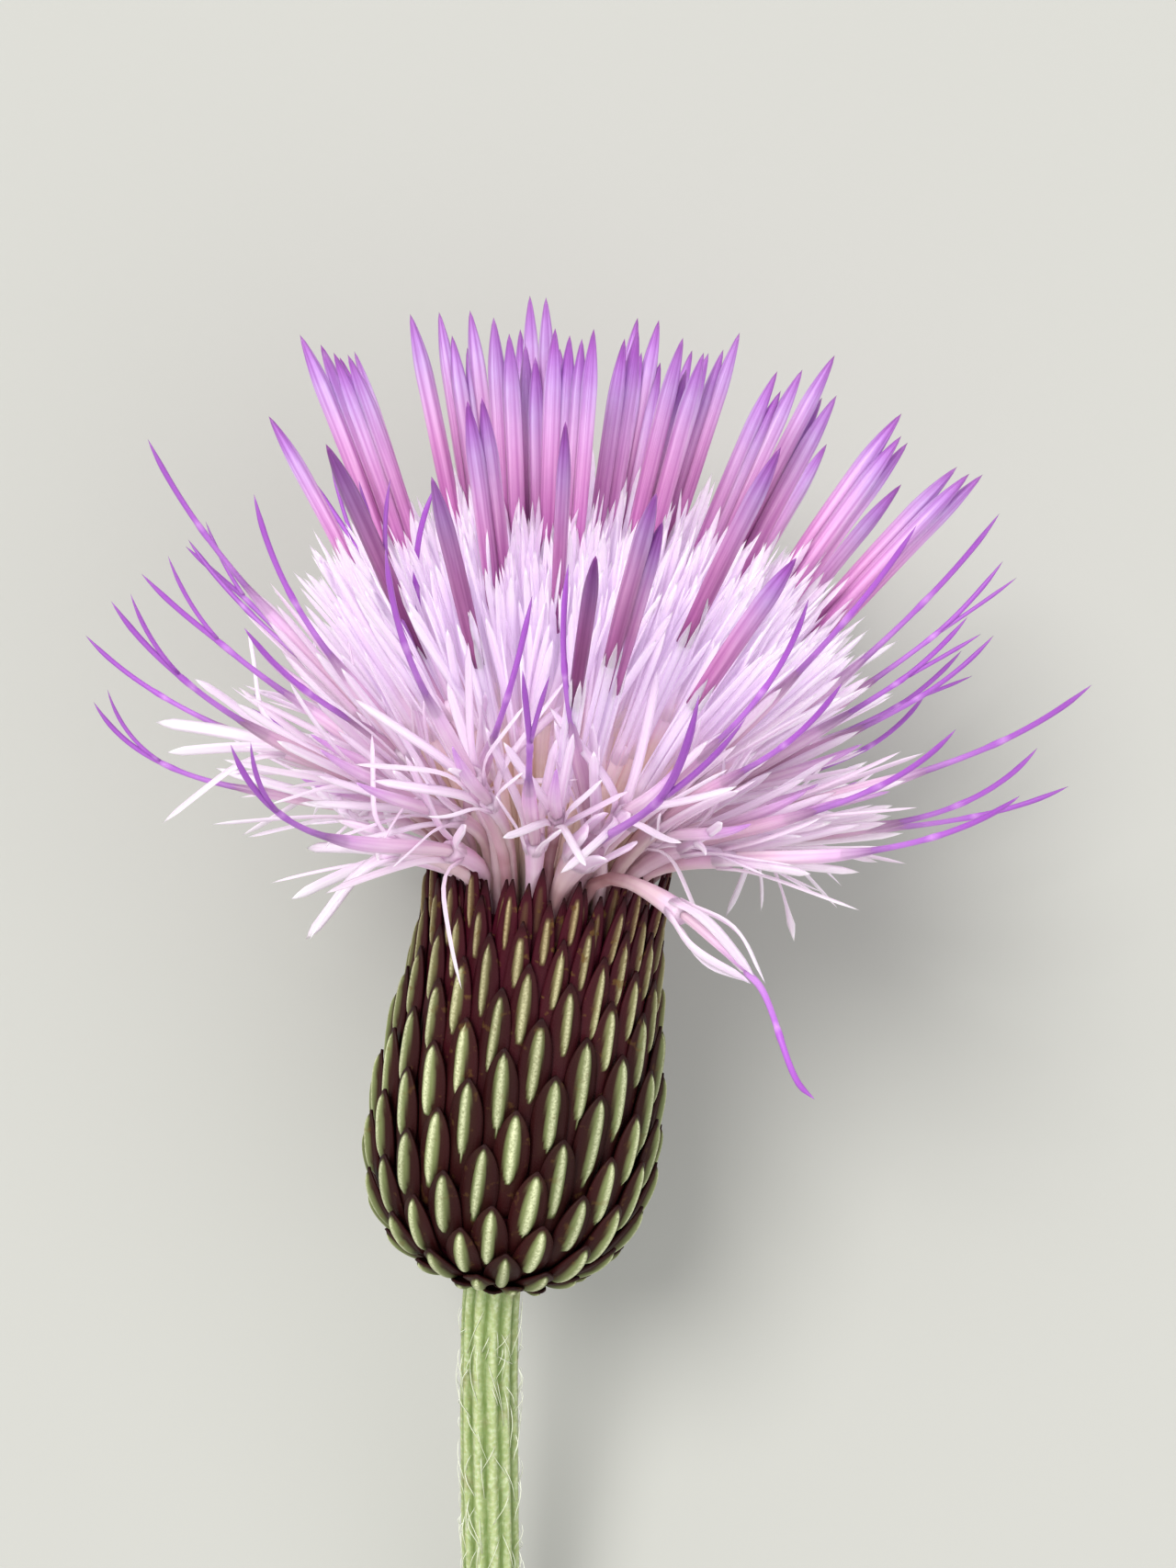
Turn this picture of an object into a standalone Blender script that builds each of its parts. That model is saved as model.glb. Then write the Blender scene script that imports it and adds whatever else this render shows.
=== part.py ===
"""A cut thistle flower lying on a flat surface, one object for each sub-part.

Run it with: blender --background --python part.py

The flower is built upright in its own head frame: the head's axis is +Z, the centre of the
head's base is the origin, and -Y is the side that faces up once the flower lies down. The
empty "lying_pose" then lays it on its side. All sizes are in millimetres until the end.
"""

import math

import bmesh
import bpy
from mathutils import Matrix, Vector

MM = 0.001

# How the cut flower lies: its axis rises towards the head, and the head leans off the stem.
TILT = math.radians(15.0)
SIDE_LEAN = math.radians(8.0)
BASE_HEIGHT = 18.0

# The stem, from its cut end to the receptacle that carries the florets.
STEM_LENGTH = 70.0
STEM_RADIUS = 2.05
STEM_BEND = 4.0
STEM_STEPS = 14
RECEPTACLE_HEIGHTS = (0.4, 1.2, 2.2, 3.4, 4.8, 5.5)
RECEPTACLE_RADII = (2.1, 2.7, 4.1, 5.7, 7.0, 6.8)

# The involucre: the cup of overlapping bracts (phyllaries).
BASE_RADIUS = 2.7
BELLY_RADIUS = 10.8
BELLY_HEIGHT = 10.4
NECK_RADIUS = 8.7
MOUTH_HEIGHT = 30.5
SERIES = 9
BRACTS = 17
BRACT_THICKNESS = 0.42
TUCK = 1.25
TOOTH = 2.0
LAP = 1.5

# The florets start on the receptacle, pass the cup's rim and fan out. Their reaches are
# measured from the centre of the mouth.
ROOT_HEIGHT = 6.1
RIM_HEIGHT = 29.0
MOUTH_CENTRE = 30.4
FLOOR_SOFTNESS = 0.8

# Outer florets: a five-sided tube, its throat, five lobes and the style beyond them.
OUTER_SIDES = 5
OUTER_ROOT = 6.2
OUTER_RIM = 6.3
OUTER_RISE = 9.0
OUTER_SETTLE = 0.35
TUBE_RADII = (0.42, 0.45, 0.5, 0.58, 0.62, 0.68, 0.8)
THROAT_RADIUS = 1.0
STYLE_RADII = (0.48, 0.42, 0.36, 0.32, 0.22)
LOBE_LENGTH = 7.6
LOBE_MIDDLE_SPREAD = 1.2
LOBE_TIP_SPREAD = 3.2

# Clumps of inner florets: a six-sided bundle that widens, and six anther tubes on its top.
CLUMP_SIDES = 6
CLUMP_ROOT = 5.0
CLUMP_RIM = 5.3
CLUMP_RISE = 3.0
CLUMP_SETTLE = 12.0
CLUMP_WIDEST_LEAN = math.radians(46.0)
CLUMP_RADII = (0.34, 0.4, 0.62, 1.1, 1.6, 1.7)
LOBE_REACH = 26.5
ANTHER_LENGTH = 12.5
ANTHER_STEP = 1.2

# Outer florets, in order round the head: the tip's direction round the head and off its
# axis, the tip's own lean, and its reach from the mouth's centre. Turn 0 faces up once the
# flower lies, 90 is its right and 180 is the side next to the surface.
OUTER_FLORETS = (
    (17, 61, 40, 38),
    (26, 87, 115, 36),
    (50, 40, 25, 40),
    (52, 66, 42, 38),
    (65, 58, 38, 41),
    (80, 41, 25, 40),
    (93, 72, 55, 37),
    (104, 51, 36, 39),
    (120, 65, 52, 37),
    (138, 85, 76, 38),
    (146, 60, 48, 37),
    (162, 76, 70, 36),
    (178, 62, 54, 36),
    (196, 76, 70, 36),
    (212, 60, 50, 37),
    (224, 85, 76, 38),
    (244, 62, 48, 38),
    (262, 72, 50, 37),
    (276, 48, 30, 41),
    (307, 60, 32, 40),
    (314, 46, 20, 39),
    (330, 67, 25, 38),
    (338, 48, 22, 40),
    (356, 53, 22, 34),
)
FIRST_ROOT_TURN = 7.0

# Clumps of inner florets: direction round the head and off its axis.
FLORET_CLUMPS = (
    (271, 37),
    (281, 28),
    (252, 32),
    (310, 37),
    (234, 35),
    (265, 19),
    (233, 22),
    (333, 27),
    (335, 37),
    (316, 13),
    (245, 10),
    (10, 5),
    (176, 12),
    (28, 15),
    (122, 11),
    (85, 17),
    (104, 25),
    (132, 33),
    (92, 34),
    (30, 31),
    (9, 37),
    (0, 45),
    (28, 42),
    (160, 27),
    (196, 28),
    (178, 40),
)

LEAF_GREEN = (0.33, 0.45, 0.16, 1.0)
BRACT_MAROON = (0.10, 0.05, 0.04, 1.0)
PETAL_LILAC = (0.80, 0.58, 0.80, 1.0)
CLUMP_PINK = (0.84, 0.66, 0.80, 1.0)


def clear_scene():
    """Removes what the startup scene holds."""
    for obj in list(bpy.data.objects):
        bpy.data.objects.remove(obj)


def plain_material(name, colour, roughness):
    """A Principled material of one colour."""
    material = bpy.data.materials.new(name)
    material.use_nodes = True
    shader = material.node_tree.nodes["Principled BSDF"]
    shader.inputs["Base Color"].default_value = colour
    shader.inputs["Roughness"].default_value = roughness
    shader.inputs["Metallic"].default_value = 0.0
    return material


def add_object(name, data, material, parent):
    """Links new object data to the flower's collection under its pose."""
    obj = bpy.data.objects.new(name, data)
    obj.data.materials.append(material)
    obj.parent = parent
    bpy.data.collections["thistle_flower"].objects.link(obj)
    return obj


def finish_mesh(bm, name, material, parent):
    """Turns a bmesh in millimetres into a smooth-shaded object in metres."""
    bmesh.ops.recalc_face_normals(bm, faces=bm.faces)
    bmesh.ops.scale(bm, vec=(MM, MM, MM), verts=bm.verts)
    mesh = bpy.data.meshes.new(name)
    bm.to_mesh(mesh)
    bm.free()
    obj = add_object(name, mesh, material, parent)
    mesh.shade_smooth()
    mesh.set_sharp_from_angle(angle=math.radians(40.0))
    return obj


# ---------------------------------------------------------------------------------------
# Shapes shared by the sub-parts


def polar(turn, radius, height):
    """A point at a radius and height of the head frame; turn 0 is at -Y, 90 degrees at +X."""
    return Vector((radius * math.sin(turn), -radius * math.cos(turn), height))


def off_axis(turn, lean):
    """The unit direction that leans off the head's axis towards a turn."""
    return polar(turn, math.sin(lean), math.cos(lean))


def above_floor(point, clearance):
    """Lifts a point that would lie under the surface, so that it rests a clearance above it."""
    up = Vector((0.0, -math.cos(TILT), math.sin(TILT)))
    height = BASE_HEIGHT + point.dot(up)
    over = (height - clearance) / FLOOR_SOFTNESS
    if over > 8.0:
        return point
    lifted = clearance + FLOOR_SOFTNESS * math.log1p(math.exp(over))
    return point + up * (lifted - height)


def bezier(start, handle, far_handle, end, steps):
    """Points along a cubic curve, its ends included."""
    points = []
    for i in range(steps + 1):
        t = i / steps
        points.append(
            start * (1 - t) ** 3
            + handle * (3 * t * (1 - t) ** 2)
            + far_handle * (3 * t * t * (1 - t))
            + end * t**3
        )
    return points


def cup_radius(height):
    """The involucre's outer radius at a height above its base."""
    if height < BELLY_HEIGHT:
        flat = BELLY_HEIGHT * 1.033
        return BELLY_RADIUS * math.sqrt(max(0.0, 1 - ((BELLY_HEIGHT - height) / flat) ** 2))
    share = min(1.0, (height - BELLY_HEIGHT) / (MOUTH_HEIGHT - BELLY_HEIGHT))
    return NECK_RADIUS + (BELLY_RADIUS - NECK_RADIUS) * 0.5 * (1 + math.cos(math.pi * share))


def cup_profile(samples=200):
    """(distance along the cup's outline, height, radius) from its base to its mouth."""
    rows = []
    along = 0.0
    for i in range(samples + 1):
        height = (MOUTH_HEIGHT + 2.0) * (i / samples) ** 1.6
        radius = max(BASE_RADIUS, cup_radius(height))
        if rows:
            along += math.hypot(height - rows[-1][1], radius - rows[-1][2])
        rows.append((along, height, radius))
    return rows


def on_cup(profile, along, inset, turn):
    """A point a distance up the cup's outline and an inset inside it."""
    along = max(0.0, min(along, profile[-1][0] - 1e-6))
    i = next(k for k in range(1, len(profile)) if profile[k][0] >= along)
    (a, ha, ra), (b, hb, rb) = profile[i - 1], profile[i]
    share = (along - a) / (b - a)
    slope = Vector((hb - ha, rb - ra)).normalized()
    height = ha + (hb - ha) * share
    radius = ra + (rb - ra) * share
    return polar(turn, radius - inset * slope.x, height + inset * slope.y)


class Sweep:
    """A closed tube that grows cap by cap along a centreline."""

    def __init__(self, sides, start, towards, radius):
        """Starts with a thin prism at the first point."""
        self.bm = bmesh.new()
        bmesh.ops.create_cone(
            self.bm, cap_ends=True, segments=sides, radius1=1.0, radius2=1.0, depth=1.0
        )
        caps = sorted(self.bm.faces, key=lambda face: face.calc_center_median().z)
        self.turned = Vector((0.0, 0.0, 1.0)).rotation_difference(towards.normalized())
        self.direction = towards.normalized()
        self.place(caps[0], start, radius)
        self.cap = caps[-1]
        self.place(self.cap, start + towards, radius)

    def place(self, face, centre, radius):
        """Puts a cap's corners on a circle round its new centre."""
        middle = face.calc_center_median()
        for corner in face.verts:
            flat = (corner.co - middle).normalized()
            corner.co = above_floor(centre, radius) + (self.turned @ flat) * radius

    def grow(self, centre, radius):
        """Extrudes the cap to a new centre and radius."""
        middle = self.cap.calc_center_median()
        towards = (centre - middle).normalized()
        self.cap = bmesh.ops.extrude_discrete_faces(self.bm, faces=[self.cap])["faces"][0]
        self.turned = self.direction.rotation_difference(towards)
        self.direction = towards
        self.place(self.cap, centre, radius)

    def side_faces(self):
        """The faces round the last ring, which the cap closes."""
        return [
            face
            for edge in self.cap.edges
            for face in edge.link_faces
            if face is not self.cap
        ]

    def push(self, face, centre, scale):
        """Extrudes any face to a new centre, scaled, and returns the new face."""
        grown = bmesh.ops.extrude_discrete_faces(self.bm, faces=[face])["faces"][0]
        middle = grown.calc_center_median()
        for corner in grown.verts:
            corner.co = above_floor(centre, 0.4) + (corner.co - middle) * scale
        return grown


# ---------------------------------------------------------------------------------------
# Sub-parts


def make_stem(parent, material):
    """The cut stem, bent a little below the head, and its receptacle, which grew as one."""
    curve = bpy.data.curves.new("stem", "CURVE")
    curve.dimensions = "3D"
    curve.bevel_depth = MM
    curve.bevel_resolution = 4
    curve.use_fill_caps = True
    down = Vector((math.sin(SIDE_LEAN), 0.0, -math.cos(SIDE_LEAN)))
    bend = Vector((0.0, 0.0, -STEM_BEND))
    cut_end = bend * 0.5 + down * (STEM_LENGTH - STEM_BEND * 0.5)
    axis_points = [
        (above_floor(point, STEM_RADIUS + 0.02), STEM_RADIUS)
        for point in reversed(bezier(Vector(), bend, bend * 1.6, cut_end, STEM_STEPS))
    ]
    axis_points += [
        (Vector((0.0, 0.0, height)), radius)
        for height, radius in zip(RECEPTACLE_HEIGHTS, RECEPTACLE_RADII)
    ]
    spline = curve.splines.new("POLY")
    spline.points.add(len(axis_points) - 1)
    for spot, (point, radius) in zip(spline.points, axis_points):
        spot.co = (*(point * MM), 1.0)
        spot.radius = radius
    return add_object("stem", curve, material, parent)


def make_bract_series(index, profile, parent, material):
    """One whorl of bracts: a toothed collar, tucked in below and lapping the next above."""
    pitch = (profile[-1][0] - 2.6) / SERIES
    low = 0.35 + index * pitch
    lowest_inset = 0.0 if index == 0 else TUCK
    rows = (
        (low, lowest_inset),
        (low + pitch * 0.62, TUCK * 0.42),
        (low + pitch + LAP - TOOTH, TUCK * 0.1),
    )
    tip = low + pitch + LAP
    bm = bmesh.new()
    columns = 2 * BRACTS
    bmesh.ops.create_cone(
        bm, cap_ends=False, segments=columns, radius1=1.0, radius2=1.0, depth=1.0
    )
    upright = [edge for edge in bm.edges if abs(edge.verts[0].co.z - edge.verts[1].co.z) > 0.5]
    bmesh.ops.subdivide_edges(bm, edges=upright, cuts=1)
    for vert in bm.verts:
        row = round(vert.co.z * 2) + 1
        column = round(math.atan2(vert.co.x, vert.co.y) / math.tau * columns)
        turn = math.tau * (column + index % 2) / columns
        along, inset = rows[row]
        if row == 2 and column % 2 == 0:
            along, inset = tip, 0.0
        vert.co = on_cup(profile, along, inset + BRACT_THICKNESS / 2, turn)
    series = finish_mesh(bm, f"phyllary_series_{index + 1}", material, parent)
    wall = series.modifiers.new("bract_wall", "SOLIDIFY")
    wall.thickness = BRACT_THICKNESS * MM
    wall.offset = 0.0
    return series


def make_outer_floret(index, row, parent, material):
    """An open outer floret: a tube, five spreading lobes, and the style beyond them."""
    turn, lean, tip_lean = (math.radians(value) for value in row[:3])
    reach = row[3]
    root_turn = math.radians(FIRST_ROOT_TURN) + math.tau * index / len(OUTER_FLORETS)
    root = polar(root_turn, OUTER_ROOT, ROOT_HEIGHT)
    rim = polar(root_turn, OUTER_RIM, RIM_HEIGHT)
    tip = Vector((0.0, 0.0, MOUTH_CENTRE)) + off_axis(turn, lean) * reach
    up = (rim - root).normalized()
    settle = off_axis(turn, tip_lean) * reach * OUTER_SETTLE
    path = bezier(rim, rim + up * OUTER_RISE, tip - settle, tip, 10)
    tube = Sweep(OUTER_SIDES, root, up * 7.0, TUBE_RADII[0])
    tube.grow(root + up * 14.0, TUBE_RADII[1])
    for point, radius in zip(path[:5], TUBE_RADII[2:]):
        tube.grow(point, radius)
    tube.grow(path[5], THROAT_RADIUS)
    forward = (path[6] - path[4]).normalized()
    for face in tube.side_faces():
        base = face.calc_center_median()
        outward = (base - base.project(forward)) - (path[5] - path[5].project(forward))
        outward.normalize()
        middle = base + forward * LOBE_LENGTH * 0.5 + outward * LOBE_MIDDLE_SPREAD
        end = base + forward * LOBE_LENGTH + outward * LOBE_TIP_SPREAD
        blade = tube.push(face, middle, 0.55)
        tube.push(blade, end, 0.35)
    tube.grow(path[5] + forward * 0.6, STYLE_RADII[0])
    for point, radius in zip(path[6:], STYLE_RADII):
        tube.grow(point, radius)
    return finish_mesh(tube.bm, f"outer_floret_{index + 1:02d}", material, parent)


def make_floret_clump(index, row, parent, material):
    """Inner florets that stand together: their tubes and lobes, and the anthers beyond."""
    turn, lean = (math.radians(value) for value in row)
    share = math.sin(lean) / math.sin(CLUMP_WIDEST_LEAN)
    forward = off_axis(turn, lean)
    root = polar(turn, CLUMP_ROOT * share, ROOT_HEIGHT)
    rim = polar(turn, CLUMP_RIM * share, RIM_HEIGHT)
    top = Vector((0.0, 0.0, MOUTH_CENTRE)) + forward * LOBE_REACH
    up = (rim - root).normalized()
    path = bezier(rim, rim + up * CLUMP_RISE, top - forward * CLUMP_SETTLE, top, 4)
    body = Sweep(CLUMP_SIDES, root, up * 10.0, CLUMP_RADII[0])
    for point, radius in zip(path, CLUMP_RADII[1:]):
        body.grow(point, radius)
    wedges = bmesh.ops.poke(body.bm, faces=[body.cap])["faces"]
    for order, wedge in enumerate(wedges):
        base = wedge.calc_center_median()
        outward = (base - top).normalized()
        length = ANTHER_LENGTH - ANTHER_STEP * (order % 3)
        shaft = body.push(wedge, base + forward * length * 0.66 + outward * 0.35, 0.8)
        body.push(shaft, base + forward * length + outward * 0.5, 0.14)
    return finish_mesh(body.bm, f"floret_clump_{index + 1:02d}", material, parent)


def lay_down(pose):
    """Lays the flower on its side, and centres the box that it fills on the origin."""
    pose.rotation_mode = "QUATERNION"
    lay = Matrix.Rotation(-(math.pi / 2 - TILT), 4, "X")
    turn = Matrix.Rotation(-SIDE_LEAN, 4, "Z")
    pose.rotation_quaternion = (turn @ lay).to_quaternion()
    pose.location = Vector((0.0, 0.0, BASE_HEIGHT)) * MM
    bpy.context.view_layer.update()
    graph = bpy.context.evaluated_depsgraph_get()
    corners = []
    for child in pose.children:
        shown = child.evaluated_get(graph)
        mesh = shown.to_mesh()
        corners += [shown.matrix_world @ vert.co for vert in mesh.vertices]
        shown.to_mesh_clear()
    low = Vector([min(corner[k] for corner in corners) for k in range(3)])
    high = Vector([max(corner[k] for corner in corners) for k in range(3)])
    pose.location -= Vector(((low.x + high.x) / 2, (low.y + high.y) / 2, low.z))
    print("head base at", [round(value * 1000, 3) for value in pose.location])


def main():
    """Builds every sub-part, then lays the flower down."""
    clear_scene()
    collection = bpy.data.collections.new("thistle_flower")
    bpy.context.scene.collection.children.link(collection)
    pose = bpy.data.objects.new("lying_pose", None)
    collection.objects.link(pose)

    green = plain_material("stem_green", LEAF_GREEN, 0.6)
    maroon = plain_material("bract_maroon", BRACT_MAROON, 0.45)
    lilac = plain_material("outer_floret_lilac", PETAL_LILAC, 0.5)
    pink = plain_material("inner_floret_pink", CLUMP_PINK, 0.5)

    make_stem(pose, green)
    profile = cup_profile()
    for index in range(SERIES):
        make_bract_series(index, profile, pose, maroon)
    for index, row in enumerate(OUTER_FLORETS):
        make_outer_floret(index, row, pose, lilac)
    for index, row in enumerate(FLORET_CLUMPS):
        make_floret_clump(index, row, pose, pink)
    lay_down(pose)


main()
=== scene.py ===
"""A cut thistle flower that lies on a pale surface.

Every size of the flower is in millimetres in the head's own frame until a piece is finished:
the head's axis is +Z, the centre of the cup's base is the origin, and -Y is the side that
faces up. The studio's sizes are in metres.
"""

import logging
import math
import random
from dataclasses import dataclass, field
from enum import Enum

import bpy
import numpy as np
from mathutils import Matrix, Vector


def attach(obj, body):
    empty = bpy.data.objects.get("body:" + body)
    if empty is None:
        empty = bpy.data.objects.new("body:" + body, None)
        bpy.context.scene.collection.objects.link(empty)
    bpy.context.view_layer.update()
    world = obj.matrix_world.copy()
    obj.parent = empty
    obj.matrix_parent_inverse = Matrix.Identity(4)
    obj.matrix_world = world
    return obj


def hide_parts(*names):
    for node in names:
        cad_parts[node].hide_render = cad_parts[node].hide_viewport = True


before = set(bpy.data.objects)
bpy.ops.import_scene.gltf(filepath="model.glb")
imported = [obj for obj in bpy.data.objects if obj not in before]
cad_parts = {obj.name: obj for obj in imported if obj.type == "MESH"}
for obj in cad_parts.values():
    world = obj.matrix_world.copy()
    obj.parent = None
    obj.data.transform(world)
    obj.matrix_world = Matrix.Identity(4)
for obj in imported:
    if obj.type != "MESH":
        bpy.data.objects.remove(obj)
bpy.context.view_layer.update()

LOG = logging.getLogger("thistle")
MM = 0.001
GOLDEN_ANGLE = math.radians(137.508)
MOUTH_HEIGHT = 30.4
SKIN_CLEARANCE = 0.03
SKIN_SOFTNESS = 0.05
SPARE_FACING = (0.3, 0.9, 0.2)
Point = np.ndarray
Colour = tuple[float, float, float]


def tone(red: int, green: int, blue: int) -> Colour:
    """A colour chosen on the 0 to 255 display scale, as the linear values shaders take.

    Args:
        red: The display red.
        green: The display green.
        blue: The display blue.

    Returns:
        The three linear values.
    """
    shares = (red / 255, green / 255, blue / 255)
    return tuple(s / 12.92 if s <= 0.04045 else ((s + 0.055) / 1.055) ** 2.4 for s in shares)


# ---------------------------------------------------------------------------------------
# Where everything lies


@dataclass(frozen=True)
class Lie:
    """How the cut flower lies: the head's frame in the row's frame.

    A point that is clear_of_surface softnesses or more over its clearance isn't lifted, and
    steepest keeps the exponential in range.
    """

    tilt: float = math.radians(15.0)
    side_lean: float = math.radians(8.0)
    base: tuple[float, float, float] = (-5.862, 0.069, 17.874)
    clear_of_surface: float = 8.0
    steepest: float = 30.0

    def matrix(self) -> Matrix:
        """Works out the head's frame.

        Returns:
            The matrix from millimetres in it to metres in the row's frame.
        """
        lay = Matrix.Rotation(-(math.pi / 2 - self.tilt), 4, "X")
        turn = Matrix.Rotation(-self.side_lean, 4, "Z")
        place = Matrix.Translation(Vector(self.base) * MM)
        return place @ turn @ lay @ Matrix.Scale(MM, 4)

    def place(self, points: Point) -> Point:
        """Head points in millimetres as row points in metres.

        Args:
            points: One row per point.

        Returns:
            The same points in the row's frame.
        """
        matrix = np.array(self.matrix())
        return points @ matrix[:3, :3].T + matrix[:3, 3]

    def lift(self, points: Point, clearance: Point | float, softness: float = 0.8) -> Point:
        """Moves points up so that they rest on the surface instead of passing into it.

        Args:
            points: One row per point, in the head's frame.
            clearance: The least height above the surface.
            softness: How gently a point leaves the surface.

        Returns:
            The lifted points.
        """
        up = np.array((0.0, -math.cos(self.tilt), math.sin(self.tilt)))
        height = self.base[2] + points @ up
        over = (height - clearance) / softness
        lifted = clearance + softness * np.log1p(np.exp(np.minimum(over, self.steepest)))
        raised = np.where(over < self.clear_of_surface, lifted - height, 0.0)
        return points + raised[:, None] * up


LIE = Lie()


def polar(turn: float, radius: float, height: float) -> Point:
    """A point at a radius and height; turn 0 faces up, a quarter turn is the right."""
    return np.array((radius * math.sin(turn), -radius * math.cos(turn), height))


def off_axis(turn: float, lean: float) -> Point:
    """The unit direction that leans off the head's axis towards a turn."""
    return polar(turn, math.sin(lean), math.cos(lean))


def unit(vector: Point) -> Point:
    """The vector at length one."""
    return vector / max(1e-9, float(np.linalg.norm(vector)))


def bezier(start: Point, handle: Point, far_handle: Point, end: Point, count: int) -> Point:
    """Points along a cubic curve.

    Args:
        start: Its first point.
        handle: The handle that leaves the first point.
        far_handle: The handle that reaches the last point.
        end: Its last point.
        count: How many points.

    Returns:
        One row per point, both ends included.
    """
    t = np.linspace(0.0, 1.0, count)[:, None]
    near = start * (1 - t) ** 3 + handle * (3 * t * (1 - t) ** 2)
    return near + far_handle * (3 * t * t * (1 - t)) + end * t**3


def along_path(path: Point, shares: Point) -> Point:
    """Points at shares of a path's length.

    Args:
        path: One row per point.
        shares: Shares of its length, from 0 to 1.

    Returns:
        One row per share.
    """
    steps = np.linalg.norm(np.diff(path, axis=0), axis=1)
    length = np.concatenate(([0.0], np.cumsum(steps)))
    wanted = np.asarray(shares) * length[-1]
    return np.stack([np.interp(wanted, length, path[:, k]) for k in range(3)], axis=1)


def tangents_of(path: Point) -> Point:
    """The unit direction at each point of a path."""
    tangents = np.gradient(path, axis=0)
    return tangents / np.maximum(1e-9, np.linalg.norm(tangents, axis=1))[:, None]


def smooth_step(values: Point | float, low: float, high: float) -> Point:
    """A smooth rise from 0 at low to 1 at high."""
    share = np.clip((np.asarray(values) - low) / (high - low), 0.0, 1.0)
    return share * share * (3 - 2 * share)


# ---------------------------------------------------------------------------------------
# Skins: meshes built up strand by strand


class Tissue(Enum):
    """What a face is made of; each is one material slot of its piece."""

    COROLLA = "corolla"
    RIM_COROLLA = "rim corolla"
    ANTHER = "anther"
    RIM_ANTHER = "rim anther"
    STYLE = "style"
    BRACT = "bract"
    STEM = "stem"
    CUT = "cut"
    DOWN = "down"


Finishes = dict[Tissue, bpy.types.Material]
Group = bpy.types.ShaderNodeTree


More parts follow.
